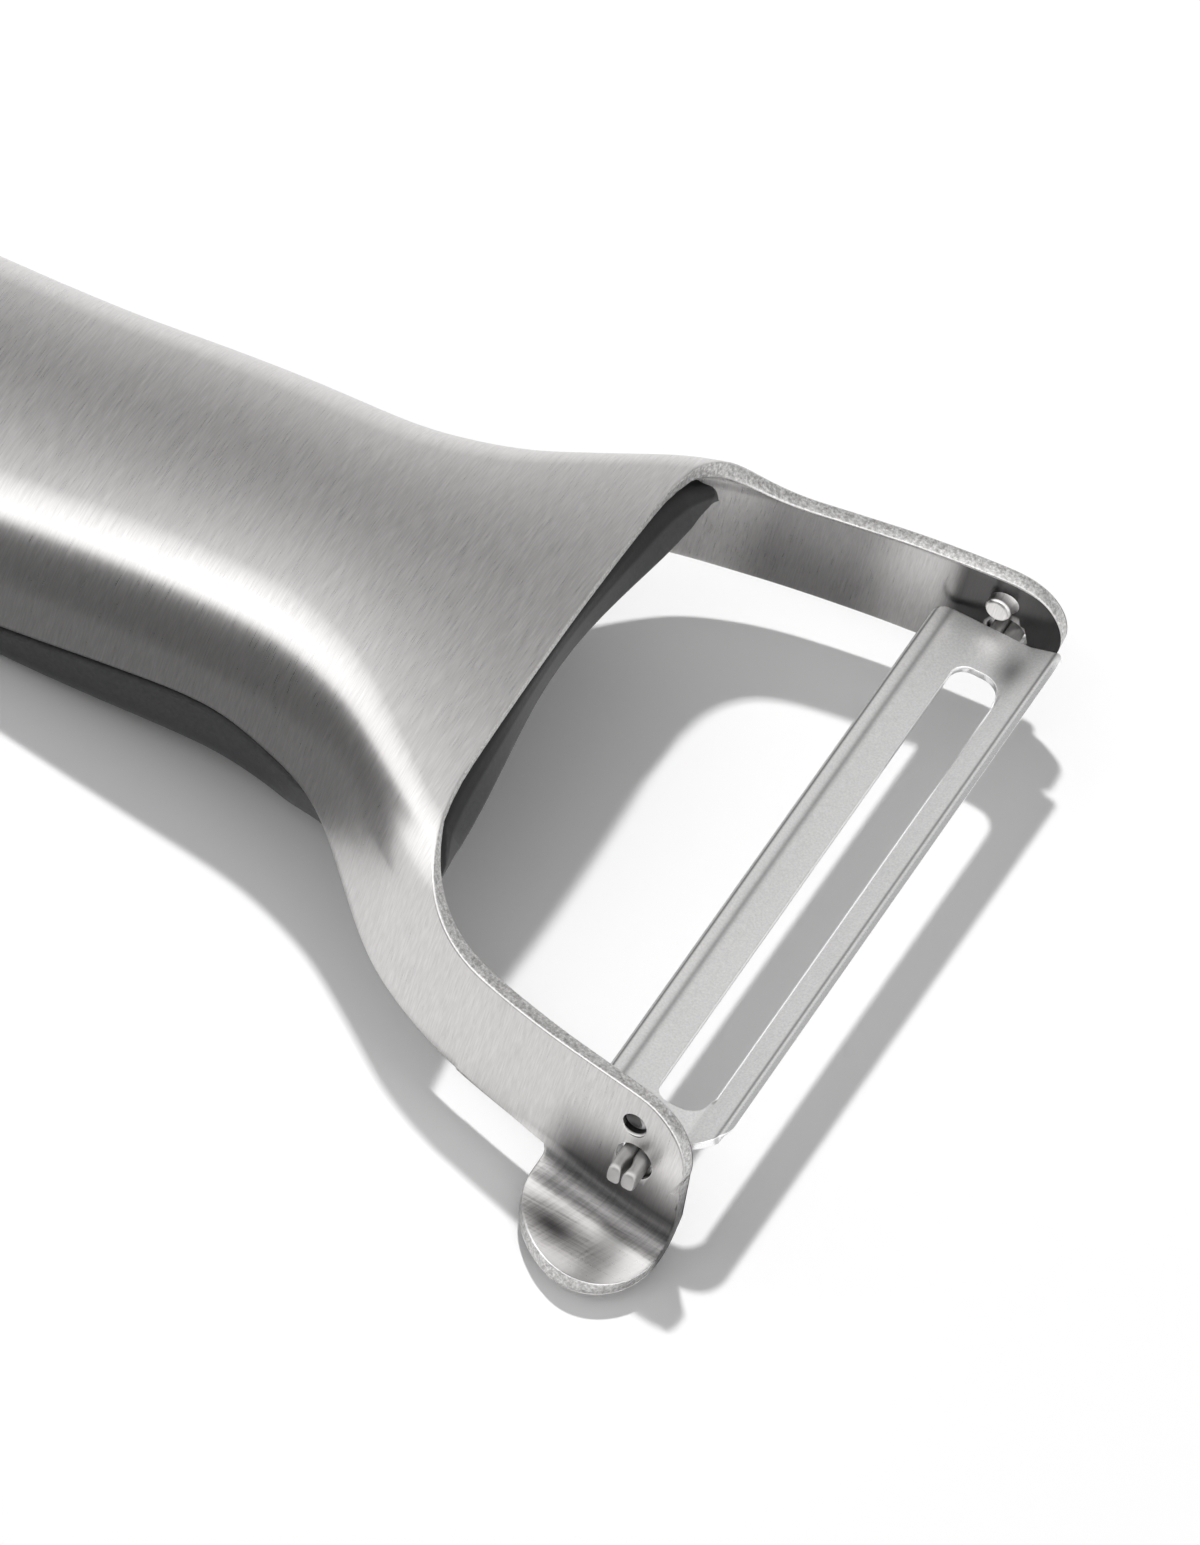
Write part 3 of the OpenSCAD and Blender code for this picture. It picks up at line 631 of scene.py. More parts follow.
@dataclass
class PressedBody:
    """The steel body: handle, head, two arms with their stops, and the tab."""

    form: PressedForm = field(default_factory=PressedForm)
    tab: EyerTab = field(default_factory=EyerTab)
    pivot_hole_d: float = 3.4
    stop_d: float = 2.3
    stop_from: float = 30.63
    stop_rise: float = 3.6
    stop_back: float = 1.0
    recess_d: float = 2.1
    recess_deep: float = 0.9
    edge_round: float = 0.2
    mouth: float = 0.05
    overrun: float = 1.0
    dome: float = 0.35
    # Painted dark reflections on the far arm's inner face: full towards the pivot, and fainter near the
    # front corner
    reflection_x: float = -6.8
    reflection_run: float = 2.2
    corner_shade: float = 0.6
    corner_x: float = -8.0
    corner_run: float = 6.0
    corner_fade: float = 5.0

    ACROSS = runs((0, ARCH, 13), (ARCH, PART, 15), (PART, SHOULDER, 17), (SHOULDER, EDGE, 9))

    def __post_init__(self) -> None:
        """Works out where the arms' outer faces lie at the pivots and the stops."""
        self.pivot_y = float(self.form.half_at(0.0, self.form.pivot_z))
        self.stop_z = self.form.pivot_z + self.stop_rise
        self.stop_y = float(self.form.half_at(-self.stop_back, self.stop_z))

    def handle_skin(self) -> Skin:
        """Outer face of the handle and head as one grid of rows and columns."""
        p = runs((0, REAR, 31), (REAR, NECK, 57), (NECK, FRONT, 65))
        return Skin.grid(self.form.outer(p[:, None], both_ways(self.ACROSS)[None, :]))

    def arm_rows(self, near: bool) -> tuple[Array, Array, Array]:
        """Rows along an arm: round the corner after the front edge, along the
        arm, and round its tip.

        Args:
            near: True for the arm with the tab, whose rows crowd at the tab's ends.

        Returns:
            The rows' places, tip angles (0 before the tip) and upper heights.
        """
        f = self.form
        share = 2 / f.corner_power
        part = float(f.place(PART)) / f.corner_w
        a = np.linspace(asin(part ** (1 / share)), QUARTER, 34)
        x_corner = f.front_x + f.corner_l * (1 - np.maximum(np.cos(a), 0) ** share)
        rest = f.corner_w * (1 - np.sin(a) ** share)
        drop = (np.sin(f.corner_end + rest / f.front.r) - sin(f.corner_end)) * f.front.r
        end_z, part_z = f.arm_top - f.arm_dip, float(f.across(f.section(x_corner[0]), PART)[1])
        start, end = f.front_x + f.corner_l, self.tab.start if near else f.tip_cx
        x_run = np.linspace(start, end, 34)[1:]
        if near:
            x_tip = blend(end, f.tip_reach + f.tip_lean, np.sin(np.linspace(0, QUARTER, 57)[1:]))
            tip = np.arcsin(np.clip((x_tip - f.tip_cx) / (f.tip_r + f.tip_lean), 0, 1))
        else:
            tip = x_tip = np.linspace(0, QUARTER, 26)[1:]
        x_tip = np.where(tip > 0, f.tip_cx + f.tip_r * np.sin(tip), x_tip)
        x = np.concatenate([x_corner, x_run, x_tip])
        tips = np.concatenate([0 * x_corner, 0 * x_run, tip])
        dip = f.arm_top - f.arm_dip * (1 - ease((x - start) / (f.tip_cx - start)))
        top = np.where(tips > 0, f.tip_cz + f.tip_r * np.cos(tips), dip)
        top[: len(x_corner)] = end_z + drop * (part_z - end_z) / drop[0]
        return x, tips, top

    def arm_skin(self, near: bool) -> Skin:
        """Outer face of an arm: rows of heights on the splayed wall that start
        on the shell's front section. The near arm's rows run on into the tab.

        Args:
            near: True for the arm with the tab.

        Returns:
            The skin, marked where the tab is and where painted shade lies, or with painted dark reflections
            for the far arm's inside.
        """
        f, t = self.form, self.tab
        x, tips, top = self.arm_rows(near)
        s = f.section(x[0])
        z_front = f.across(s, self.ACROSS[self.ACROSS >= PART])[1]
        foot = f.edge.at(x)
        if near:
            low = foot + t.bend_share * t.bend_r * ease((x - f.front_x - f.corner_l) / t.lead_in)
        else:
            low = np.where(tips > 0, f.tip_cz - f.tip_r * np.cos(tips), foot)
        z = blend(low[:, None], top[:, None], (z_front - s.edge) / (z_front[0] - s.edge))
        lean = near * f.tip_lean * np.sin(tips)[:, None] * np.maximum(f.tip_cz - z, 0) / f.tip_r
        xs = x[:, None] + lean
        grid = np.stack([xs, (-1 if near else 1) * f.half_at(xs, z), z], -1)
        if not near:
            # Painted dark reflection on the far arm's inner face, full towards the pivot and fainter near
            # the front corner
            well = ease((xs - self.reflection_x) / self.reflection_run)
            corner = ease((self.corner_x - xs) / self.corner_run) * ease((xs - x[0]) / self.corner_fade)
            return Skin.grid(grid, well=well + self.corner_shade * corner)
        root = xs[:, -1]
        bent = ease((root - t.start) / t.fade + 1)[:, None]
        length = (low - foot)[:, None] * np.linspace(0, 1, 9)[None, 1:]
        out, drop = (blend(*pair, bent) for pair in zip((length * tan(f.splay), length), t.curve(length)))
        bend = np.stack([root[:, None] + 0 * out, grid[:, -1:, 1] - out, low[:, None] - drop], -1)
        # Painted shade on the arm's face just above the tab, and along the bend
        beside = t.beside(xs)
        above = ease(1 - (z - low[:, None]) / t.dim_h)
        dim = np.concatenate([beside * above, beside[:, -1:] + 0 * length], 1)
        mark = np.concatenate([0 * z, ease(length / t.mark_run) * bent], 1)
        arm = Skin.grid(np.concatenate([grid, bend], 1), flip=True, tab=mark, dim=dim)
        own = root >= t.start - 1e-6
        return Skin.join(arm, self.scoop(root[own], low[own], (low - foot)[own]))

    def scoop(self, root: Array, low: Array, bend: Array) -> Skin:
        """Outer face of the tab past its bend: each level runs from the rear
        to the front outline, and the levels close to one point at the end.

        Args:
            root: Places of the rows along the arm's foot.
            low: Heights at which the rows' bend starts.
            bend: Length of the bend before the first level.

        Returns:
            The skin, marked as tab and where it is dim.
        """
        f, t = self.form, self.tab
        front = root[-1]
        centre, half = (t.rear_x + front) / 2, (front - t.rear_x) / 2
        rise = np.sin(np.linspace(0, QUARTER, 37))[None, :]
        inside = rise < 1
        wide = half * np.sqrt(np.maximum(1 - rise ** (2 / t.roundness), 0))
        rear = centre - wide - t.notch_r * np.exp(-rise * t.reach / t.notch_fade) * inside
        u = ((root - t.start) / (front - t.start))[:, None]
        x = blend(rear, centre + wide, u)
        length = blend(bend[:, None], t.reach, rise)
        base = blend(low[:, None], low.mean(), rise)
        out, drop = t.curve(length)
        side = np.where(u < 0.5, t.swell, t.front_swell) * (2 * u - 1)
        swollen = x + side * np.sin(2 * QUARTER * rise) * inside
        grid = np.stack([swollen, -(f.half_at(x, base + 0 * x) + out), base - drop], -1)
        grid[:, -1] = grid[:, -1].mean(0)
        return Skin.grid(grid, flip=True, tab=ease(length / t.mark_run), dim=t.dim(length, x))

    def cutters(self) -> list[Skin]:
        """Bars that cut the pivot holes, with eased mouths, and the recesses.

        Returns:
            The bars: hole and recess of the far arm, then of the near arm.
        """
        f, c, over, proud, ramp = self.form, self.mouth, self.overrun, 0.02, 0.15
        r, face = self.pivot_hole_d / 2, self.pivot_y
        inner = face - f.steel_t
        hole = turned([
            (inner - over, 0), (inner - over, r + c), (inner - proud, r + c), (inner + c, r),
            (face - c, r), (face + proud, r + c), (face + over, r + c), (face + over, 0),
        ])
        r, face, floor = self.recess_d / 2, self.stop_y, self.stop_y - self.recess_deep
        recess = turned([
            (floor, 0), (floor, r - 0.25), (floor + 0.2, r), (face - ramp, r),
            (face + proud, r + ramp), (face + over, r + ramp), (face + over, 0),
        ])
        places = ((hole, (0, 0, f.pivot_z)), (recess, (-self.stop_back, 0, self.stop_z)))
        return [moved(bar, place, mirror) for mirror in (False, True) for bar, place in places]

    def mark_pits(self, mesh: Mesh) -> None:
        """Gives the walls of the holes and recesses the mark "pit", for painted
        shade: points close to a bar's axis, at a depth between its two ends.

        Args:
            mesh: The body's mesh after the cuts.
        """
        f, slack, shallow, deep = self.form, 0.03, 0.08, 1.0
        co = np.empty(3 * len(mesh.vertices), np.float32)
        mesh.vertices.foreach_get("co", co)
        x, y, z = (co.reshape(-1, 3) / MM - (REST_BACK, 0, 0)).T
        depth = f.half_at(x, z) - np.abs(y)
        hole = np.hypot(x, z - f.pivot_z) < self.pivot_hole_d / 2 + slack
        hole &= (depth > slack) & (depth < f.steel_t - slack)
        recess = np.hypot(x + self.stop_back, z - self.stop_z) < self.recess_d / 2 + slack
        recess &= (depth > shallow) & (depth < deep)
        layer = mesh.attributes.new("pit", "FLOAT", "POINT")
        layer.data.foreach_set("value", (hole | recess).astype(np.float32))

    def stops(self) -> Skin:
        """The two stops: short round nubs with a domed end.

        Returns:
            Both nubs, which reach a little into the arms' sheet.
        """
        inner, r, end, dome = self.stop_y - self.form.steel_t, self.stop_d / 2, self.stop_from, self.dome
        sink, flare = 0.2, 0.25
        a = np.linspace(0, QUARTER, 9)
        tip = np.stack([end + dome * (1 - np.cos(a)), r - dome + dome * np.sin(a)], -1)
        foot = [(inner - flare, r), (inner + sink, r + flare), (inner + sink, 0)]
        nub = turned(np.concatenate([[(end, 0)], tip, foot]))
        at = (-self.stop_back, 0, self.stop_z)
        return Skin.join(*(moved(nub, at, mirror) for mirror in (False, True)))

    def make(self) -> Object:
        """Builds the body: outer face, plate, holes and stops.

        Returns:
            The finished object.
        """
        skin = Skin.join(self.handle_skin(), self.arm_skin(True), self.arm_skin(False)).welded(1e-4)
        obj = linked("steel_body", skin.sheet(self.form.steel_t, self.edge_round).mesh("steel_body"))
        bars = [linked(f"cutter_{k}", bar.mesh(f"cutter_{k}")) for k, bar in enumerate(self.cutters())]
        for bar in bars:
            cut = obj.modifiers.new(bar.name, "BOOLEAN")
            cut.operation, cut.object, cut.solver = "DIFFERENCE", bar, "EXACT"
        bpy.context.view_layer.update()
        mesh = bpy.data.meshes.new_from_object(obj.evaluated_get(bpy.context.evaluated_depsgraph_get()))
        obj.modifiers.clear()
        obj.data = mesh
        for bar in bars:
            bpy.data.objects.remove(bar)
        mesh.polygons.foreach_set("use_smooth", np.ones(len(mesh.polygons), bool))
        mesh.set_sharp_from_angle(angle=radians(40))
        self.mark_pits(mesh)
        both = bmesh.new()
        both.from_mesh(mesh)
        both.from_mesh(self.stops().mesh("nubs"))
        both.to_mesh(mesh)
        both.free()
        return obj


@dataclass
class SoftGrip:
    """The soft grip: it fills the space under the steel, with a side band
    along the handle and a lining under the head's front edge."""

    form: PressedForm = field(default_factory=PressedForm)
    fill_gap: float = 0.17
    edge_gap: float = 0.5
    grip_inset: float = 0.25
    lining_t: float = 4.6
    lining_back: float = 0.15
    lip_out: float = 0.5
    lip_side_out: float = 2.5
    lip_bow: float = 3.21
    open_gap: float = 0.6
    open_run: float = 0.7
    grip_round: float = 4.5
    fillet: float = 0.45
    front_fillet: float = 0.6
    end_col: float = 10.0
    core_end: float = 27.0
    core_col: float = 9.0
    core_drop: float = 0.6
    lip_start: float = 30.0
    open_start: float = 31.0
    # Painted shadow under the steel's front edge: on the top of the lining's face and the upper side near
    # the front
    gap_shadow_h: float = 1.8
    gap_shadow_fade: float = 0.45
    tuck: float = 0.25
    side_h: float = 0.8
    least_r: float = 0.2
    end_share: float = 0.25
    close_share: float = 0.35
    close_col: float = 8.0

    def share(self, x: Array) -> Array:
        """Share of the way from the neck to the pivot axis."""
        return x / self.form.neck_reach + 1

    def drawn_in(self, x: Array) -> Array:
        """0 where the side lies under the steel's edge, 1 where it is inside."""
        return ease((self.share(x) - 0.18) / 0.12)

    def lining(self, x: Floats) -> Floats:
        """0 on the handle, 1 where the lining is under the front edge."""
        start, end = 0.31, self.share(self.form.front_x - self.lining_back)
        return ease((self.share(x) - start) / (end - start))

    def fill(self, p: Array, q: Array) -> Array:
        """Points one gap in from the steel's inner face."""
        return self.form.inside(p, q, self.form.steel_t + self.fill_gap)

    def top(self, p: Array, c: Array, x: Array) -> Array:
        """Upper side of the grip: one gap in from the steel, flat under the
        core, and opening a little further behind the front edge.

        Args:
            p: Places along.
            c: Places across.
            x: Places of the rows along the peeler.

        Returns:
            The points.
        """
        lining = self.lining(x)
        q = hand(c) * (np.minimum(np.abs(c), EDGE) / EDGE) * blend(EDGE, self.end_col, lining)
        points = self.fill(p, q)
        z = points[..., 2]
        floor = self.fill(p, np.full_like(p, self.core_col))[..., 2] - self.core_drop - self.fill_gap
        rim = self.edge_gap * (1 - lining) * (np.abs(c) >= EDGE)
        points[..., 2] = np.where(p <= self.core_end, np.minimum(z, floor), z) - rim
        opens = self.open_gap * ease((p - self.open_start) / self.open_run)
        return points - opens[..., None] * self.form.outward(p, q)

    def belly(self, p: Array, c: Array, x: Array, foot: Array) -> Array:
        """Lower side of the grip: an underside that sags to the middle, a
        round corner, a side face and a small fillet under the steel's edge.

        Args:
            p: Places along.
            c: Places across.
            x: Places of the rows along the peeler.
            foot: Points of the upper side's rim in each row.

        Returns:
            The points.
        """
        f, s, k = self.form, self.form.section(x), np.abs(c)
        side_shares = (
            (-0.4, 0), (-0.34, 0.004), (-0.2, 0.085), (0, 0.24), (0.12, 0.33), (0.24, 0.45), (0.34, 0.58),
            (0.46, 0.66),
        )
        mid_shares = (
            (-0.4, 0), (-0.34, 0.002), (-0.2, 0.06), (0, 0.29), (0.12, 0.57), (0.24, 0.9), (0.34, 1.24),
            (0.46, 1.5),
        )
        z_side, z_mid = (
            f.neck_edge * Curve(tuple((100 * a, b) for a, b in table), 0.8).at(100 * self.share(x))
            for table in (side_shares, mid_shares)
        )
        steel_side = f.wall(s, s.edge) - self.grip_inset
        inside = self.drawn_in(x)
        half = np.where(p < REAR, steel_side, blend(steel_side, np.abs(foot[..., 1]), inside))
        z_top = np.minimum(s.edge - self.edge_gap, foot[..., 2] - self.tuck * inside)
        z_side = np.minimum(z_side, z_top - self.side_h)
        z_mid = np.maximum(z_mid, z_side)
        r = np.maximum(np.minimum(self.grip_round, z_top - z_side - self.least_r), self.least_r)
        fillet = np.minimum(self.fillet, 0.4 * (z_top - z_side))
        share = np.minimum(k / UNDER, 1)
        a = QUARTER * np.clip((TURN - k) / (TURN - UNDER), 0, 1)
        b = QUARTER * np.clip(k - SIDE, 0, 1)
        straight = blend(z_side + r, z_top - fillet, np.clip(k - TURN, 0, 1))
        at = [k < UNDER, k <= TURN, k <= SIDE]
        widths = [(half - r) * share, half - r + r * np.cos(a)]
        rho = np.select(at[:2], widths, half - fillet * (1 - np.cos(b)))
        heights = [blend(z_mid, z_side, share**2), z_side + r - r * np.sin(a), straight]
        z = np.select(at, heights, z_top - fillet + fillet * np.sin(b))
        turn = QUARTER * np.minimum(p / REAR, 1)
        x = blend(x, foot[..., 0], np.where(p < REAR, 0, inside))
        return np.stack([x - rho * np.cos(turn), hand(c) * rho * np.sin(turn), z], -1)

    def under_crown(self, p: Array, c: Array) -> Array:
        """Lower side of the lining, a thickness below the steel that tapers
        towards its ends and closes there in a quarter ellipse.

        Args:
            p: Places along.
            c: Places across.

        Returns:
            The points.
        """
        q = np.clip(c, -EDGE, EDGE) * self.end_col / EDGE
        share = blend(1, self.end_share, np.abs(q) / self.end_col)
        closing = np.clip((np.abs(q) - self.close_col) / (self.end_col - self.close_col), 0, 1)
        share = share * blend(self.close_share, 1, np.sqrt(1 - closing**2))
        n = self.form.outward(p, q)
        n[..., 0] = 0
        return self.fill(p, q) - self.lining_t * share[..., None] * unit(n)

    def make(self) -> Object:
        """Builds the grip as an upper side, a lower side and a front face
        with rounded edges.

        Returns:
            The finished object.
        """
        f = self.form
        last = FRONT - (self.lining_back + self.front_fillet) * (FRONT - NECK) / (f.front_x - f.neck_x)
        c = both_ways(runs((0, UNDER, 17), (UNDER, TURN, 13), (TURN, SIDE, 4), (SIDE, RIM, 7)))
        p, cc = np.meshgrid(runs((0, REAR, 31), (REAR, NECK, 61), (NECK, last, 61)), c, indexing="ij")
        x = f.outer(p, 0 * p)[..., 0]
        top = self.top(p, cc, x)
        low = self.belly(p, cc, x, self.top(p, np.full_like(cc, SIDE), x))
        lining = self.lining(x)[..., None]
        low = np.where(lining > 0, blend(low, self.under_crown(p, cc), lining), low)
        out = blend(self.lip_out, self.lip_side_out, ease(np.abs(c) * self.end_col / EDGE / self.lip_bow))
        lip = np.maximum(f.front_x + out - self.front_fillet - low[-1, :, 0], 0)
        low[..., 0] += lip * ease((p - self.lip_start) / (last - self.lip_start)) ** 2
        tall = np.linspace(0, 1, 25)[:, None]
        face = blend(top[-1], low[-1], tall[..., None])
        height = np.linalg.norm(low[-1] - top[-1], axis=-1)
        fillet = np.maximum(np.minimum(self.front_fillet, 0.45 * height), 1e-6)
        u = np.clip(1 - np.minimum(tall, 1 - tall) * height / fillet, 0, 1)
        face[..., 0] += self.front_fillet * np.sqrt(1 - u**2)
        # Painted shadow where the steel's front edge shades the lining: its face's top and the upper side at
        # the front
        seam = ease((np.minimum(self.gap_shadow_h, 0.5 * height) - tall * height) / self.gap_shadow_fade)
        upper = Skin.grid(top, seam=ease((p - self.lip_start) / 2))
        ends = [Skin.grid(np.stack([top[:, k], low[:, k]], 1), flip=k == 0) for k in (0, -1)]
        skin = Skin.join(Skin.grid(face, seam=seam), upper, Skin.grid(low, flip=True), *ends)
        return linked("soft_grip", skin.welded(1e-4).mesh("soft_grip", 50))


@dataclass
class SlottedBlade:
    """The blade: one stamped strip with a slot, a turned-up lip behind, a
    turned-up strip in front, and a folded stud at each end; mm and radians."""

    pivot_z: float = 9.3
    thick: float = 0.7
    length: float = 61.8
    slot_l: float = 53.8
    slot_shift: float = 0.8
    slot_w: float = 4.3
    slot_back: float = 1.55
    rear_flat_w: float = 3.0
    lip_w: float = 1.3
    front_w: float = 3.1
    lip_angle: float = radians(15)
    front_angle: float = radians(20)
    rise: float = 0.9
    tilt: float = radians(4)
    bend_run: float = 0.3
    ground_w: float = 0.45
    ground_deep: float = 0.35
    ground_fade: float = 2.0
    cut_w: float = 0.5
    cut_l: float = 50.4
    cut_deep: float = 0.52
    cut_fade: float = 0.8
    corner_r: tuple = (1.5, 3.5, 0.6, 1.5)
    slot_corner_r: tuple = (1.4, 1.9, 1.9, 1.4)
    edge_round: float = 0.09
    stud_r: float = 1.25
    stud_from: float = 28.9
    stud_to: float = 35.9
    stud_dome: float = 0.5
    stud_squareness: float = 0.6
    stud_flat: float = 0.86
    stud_end_h: float = 0.6
    stud_end_w: float = 0.85
    notch_l: float = 2.1
    notch_w: float = 0.22
    # A darker patch near the far end and a darkening towards the rear, carried with the painted shade
    patch: float = 0.9
    patch_at: tuple = (2.6, 27.6)
    patch_size: tuple = (1.4, 2.3)
    rear_shade: float = 0.16
    shade_run: float = 9.0

    def __post_init__(self) -> None:
        """Works out the lines across the strip."""
        self.crease = -self.slot_back - self.rear_flat_w
        self.rear = self.crease - self.lip_w
        self.bend = self.slot_w - self.slot_back
        self.front = self.bend + self.front_w

    def profile(self, s: Array) -> tuple[Array, Array, Array, Array]:
        """The bent section: the slope turns smoothly at the lip's crease and
        at the front bend, and the place is the slope summed along the strip.

        Args:
            s: Distance along the flattened section from the pivot axis.

        Returns:
            Place forward, height, and the two parts of the upward direction.
        """
        t, step = np.linspace(-7, 7, 2801, retstep=True)
        lines = (self.crease, self.bend)
        lip, front = (ease((t - line + self.bend_run) / (2 * self.bend_run)) for line in lines)
        slope = -self.lip_angle * (1 - lip) + self.front_angle * front
        x, z = np.cumsum(np.cos(slope)) * step, np.cumsum(np.sin(slope)) * step
        zero = np.searchsorted(t, 0)
        a = np.interp(s, t, slope)
        return np.interp(s, t, x - x[zero]), np.interp(s, t, z - z[zero] + self.rise), -np.sin(a), np.cos(a)

    @staticmethod
    def outline(s0: float, s1: float, y0: float, y1: float, radii: tuple) -> Array:
        """A rectangle with rounded corners, as the same number of points on
        each side and corner whatever its size.

        Args:
            s0: Rear side.
            s1: Front side.
            y0: Near end.
            y1: Far end.
            radii: Corner radii: rear near, front near, front far, rear far.

        Returns:
            The closed loop of points.
        """
        corners = ((s0, y0, 1, 1), (s1, y0, -1, 1), (s1, y1, -1, -1), (s0, y1, 1, -1))
        arcs = []
        for turn, ((s, y, forward, up), r) in enumerate(zip(corners, radii)):
            a = np.linspace(2 + turn, 3 + turn, 25) * QUARTER
            arcs.append(np.stack([s + forward * r + r * np.cos(a), y + up * r + r * np.sin(a)], -1))
        loop = []
        for arc, after, count in zip(arcs, arcs[1:] + arcs[:1], (60, 70, 60, 70)):
            loop += [arc, blend(arc[-1], after[0], np.linspace(0, 1, count)[1:-1, None])]
        return np.concatenate(loop + [arcs[0][:1]])

    def strip(self) -> Skin:
        """The strip's upper face as rings from its outline in to the slot,
        lowered where the edges are ground, and given its thickness.

        Returns:
            The skin, marked where it is ground, and with the shade that is painted on it.
        """
        half, near = self.length / 2, -self.slot_l / 2 - self.slot_shift
        outer = self.outline(self.rear, self.front, -half, half, self.corner_r)
        inner = self.outline(-self.slot_back, self.bend, near, near + self.slot_l, self.slot_corner_r)
        s, y = np.moveaxis(blend(outer, inner, np.linspace(0, 1, 61)[:, None, None]), -1, 0)
        ground = np.clip(1 - (self.front - s) / self.ground_w, 0, 1)
        ground = ground * ease((half - np.abs(y)) / self.ground_fade)
        inside = ease((self.cut_l / 2 - np.abs(y + self.slot_shift)) / self.cut_fade)
        cutting = np.clip(1 - (s - self.bend) / self.cut_w, 0, 1) * (s >= self.bend - 1e-6) * inside
        lower = self.ground_deep * ground + self.cut_deep * cutting
        x, z, nx, nz = self.profile(s)
        h = self.thick / 2 - lower
        grid = np.stack([x + h * nx, y, z + h * nz], -1)
        mark = np.clip(3 * np.maximum(ground, cutting), 0, 1)
        # Painted shade: in the lip's crease and along thin lines by the rear and front edges; also a darker
        # patch near the far end, and darker towards the rear
        lines = ((self.crease, 0.3, 0.6), (self.rear + 0.2, 0.09, 1.0), (self.front - 0.66, 0.13, 0.8))
        line = sum(deep * np.exp(-(((s - at) / wide) ** 2)) for at, wide, deep in lines)
        away = [(v - at) / size for v, at, size in zip((s, y), self.patch_at, self.patch_size)]
        line += self.patch * np.exp(-(away[0] ** 2) - away[1] ** 2)
        line += self.rear_shade * np.clip((self.front - s) / self.shade_run, 0, 1)
        skin = Skin.grid(grid, flip=True, ground=mark, low=lower, line=line).welded(1e-5)
        return skin.sheet(self.thick - skin.marks["low"], self.edge_round)

    def stud(self, side: int) -> Skin:
        """A folded stud: two squarish prongs side by side with domed ends,
        which part a little so that a notch opens between them.

        Args:
            side: -1 for the near end, 1 for the far end.

        Returns:
            The two prongs.
        """
        start = self.stud_to - self.stud_dome
        domed = start + self.stud_dome * np.sin(np.linspace(0, QUARTER, 9))[1:]
        reach = np.concatenate([np.linspace(self.stud_from, start, 18), domed])[:, None]
        opened = np.clip((reach - self.stud_to + self.notch_l) / self.notch_l, 0, 0.97)
        gap = self.notch_w * np.sin(pi * opened)
        tip = np.sqrt(np.clip(1 - (np.clip(reach - start, 0, self.stud_dome) / self.stud_dome) ** 2, 0, 1))
        a = np.linspace(0, 2 * pi, 33)
        over, up = (np.sign(v) * np.abs(v) ** self.stud_squareness for v in (np.cos(a), np.sin(a)))
        width = (self.stud_r - gap) / 2
        z = self.stud_r * self.stud_flat * blend(self.stud_end_h, 1, tip) * up
        prongs = []
        for way in (-1, 1):
            x = way * (gap + width) + width * blend(self.stud_end_w, 1, tip) * over
            grid = np.stack([x, side * reach + 0 * x, z], -1)
            grid[:, -1] = grid[:, 0]
            grid = np.concatenate([grid, 0 * grid[:1] + grid[-1].mean(0)])
            prongs.append(Skin.grid(grid, flip=side < 0, stud=np.ones(grid.shape[:2])))
        return Skin.join(*prongs).welded()

    def make(self) -> Object:
        """Builds the strip and its studs at the blade's resting tilt.

        Returns:
            The finished object.
        """
        skin = Skin.join(self.strip(), self.stud(-1), self.stud(1))
        c, s = cos(self.tilt), sin(self.tilt)
        x, y, z = skin.points.T
        skin.points = np.stack([x * c - z * s, y, x * s + z * c + self.pivot_z], -1)
        return linked("slotted_blade", skin.mesh("slotted_blade", 35))


# Finishes


class Value:
    """A number socket whose arithmetic adds Math nodes."""

    def __init__(self, graph: "Finish", socket: bpy.types.NodeSocket) -> None:
        """Wraps a socket of a finish's node tree."""
        self.graph, self.socket = graph, socket

    def math(self, operation: str, *others: "Value | float", clamp: bool = False) -> "Value":
        """Adds one Math node on this value and the others."""
        settings = {"operation": operation, "use_clamp": clamp}
        return self.graph.node("ShaderNodeMath", settings, dict(enumerate((self, *others))))

    def __add__(self, other: "Value | float") -> "Value":
        """Sum."""
        return self.math("ADD", other)

    __radd__ = __add__

    def __sub__(self, other: "Value | float") -> "Value":
        """Difference."""
        return self.math("SUBTRACT", other)

    def __rsub__(self, other: float) -> "Value":
        """Difference from a number."""
        return self.math("MULTIPLY_ADD", -1.0, other)

    def __mul__(self, other: "Value | float") -> "Value":
        """Product."""
        return self.math("MULTIPLY", other)

    __rmul__ = __mul__

    def held(self) -> "Value":
        """The value kept between 0 and 1."""
        return self.math("ADD", 0.0, clamp=True)

    def swing(self, strength: "Value | float") -> "Value":
        """How far the value lies from 0.5, times a strength."""
        return (self - 0.5) * strength

    def contrast(self, strength: "Value | float") -> "Value":
        """The value drawn away from 0.5 and kept between 0 and 1."""
        return (self.swing(strength) + 0.5).held()


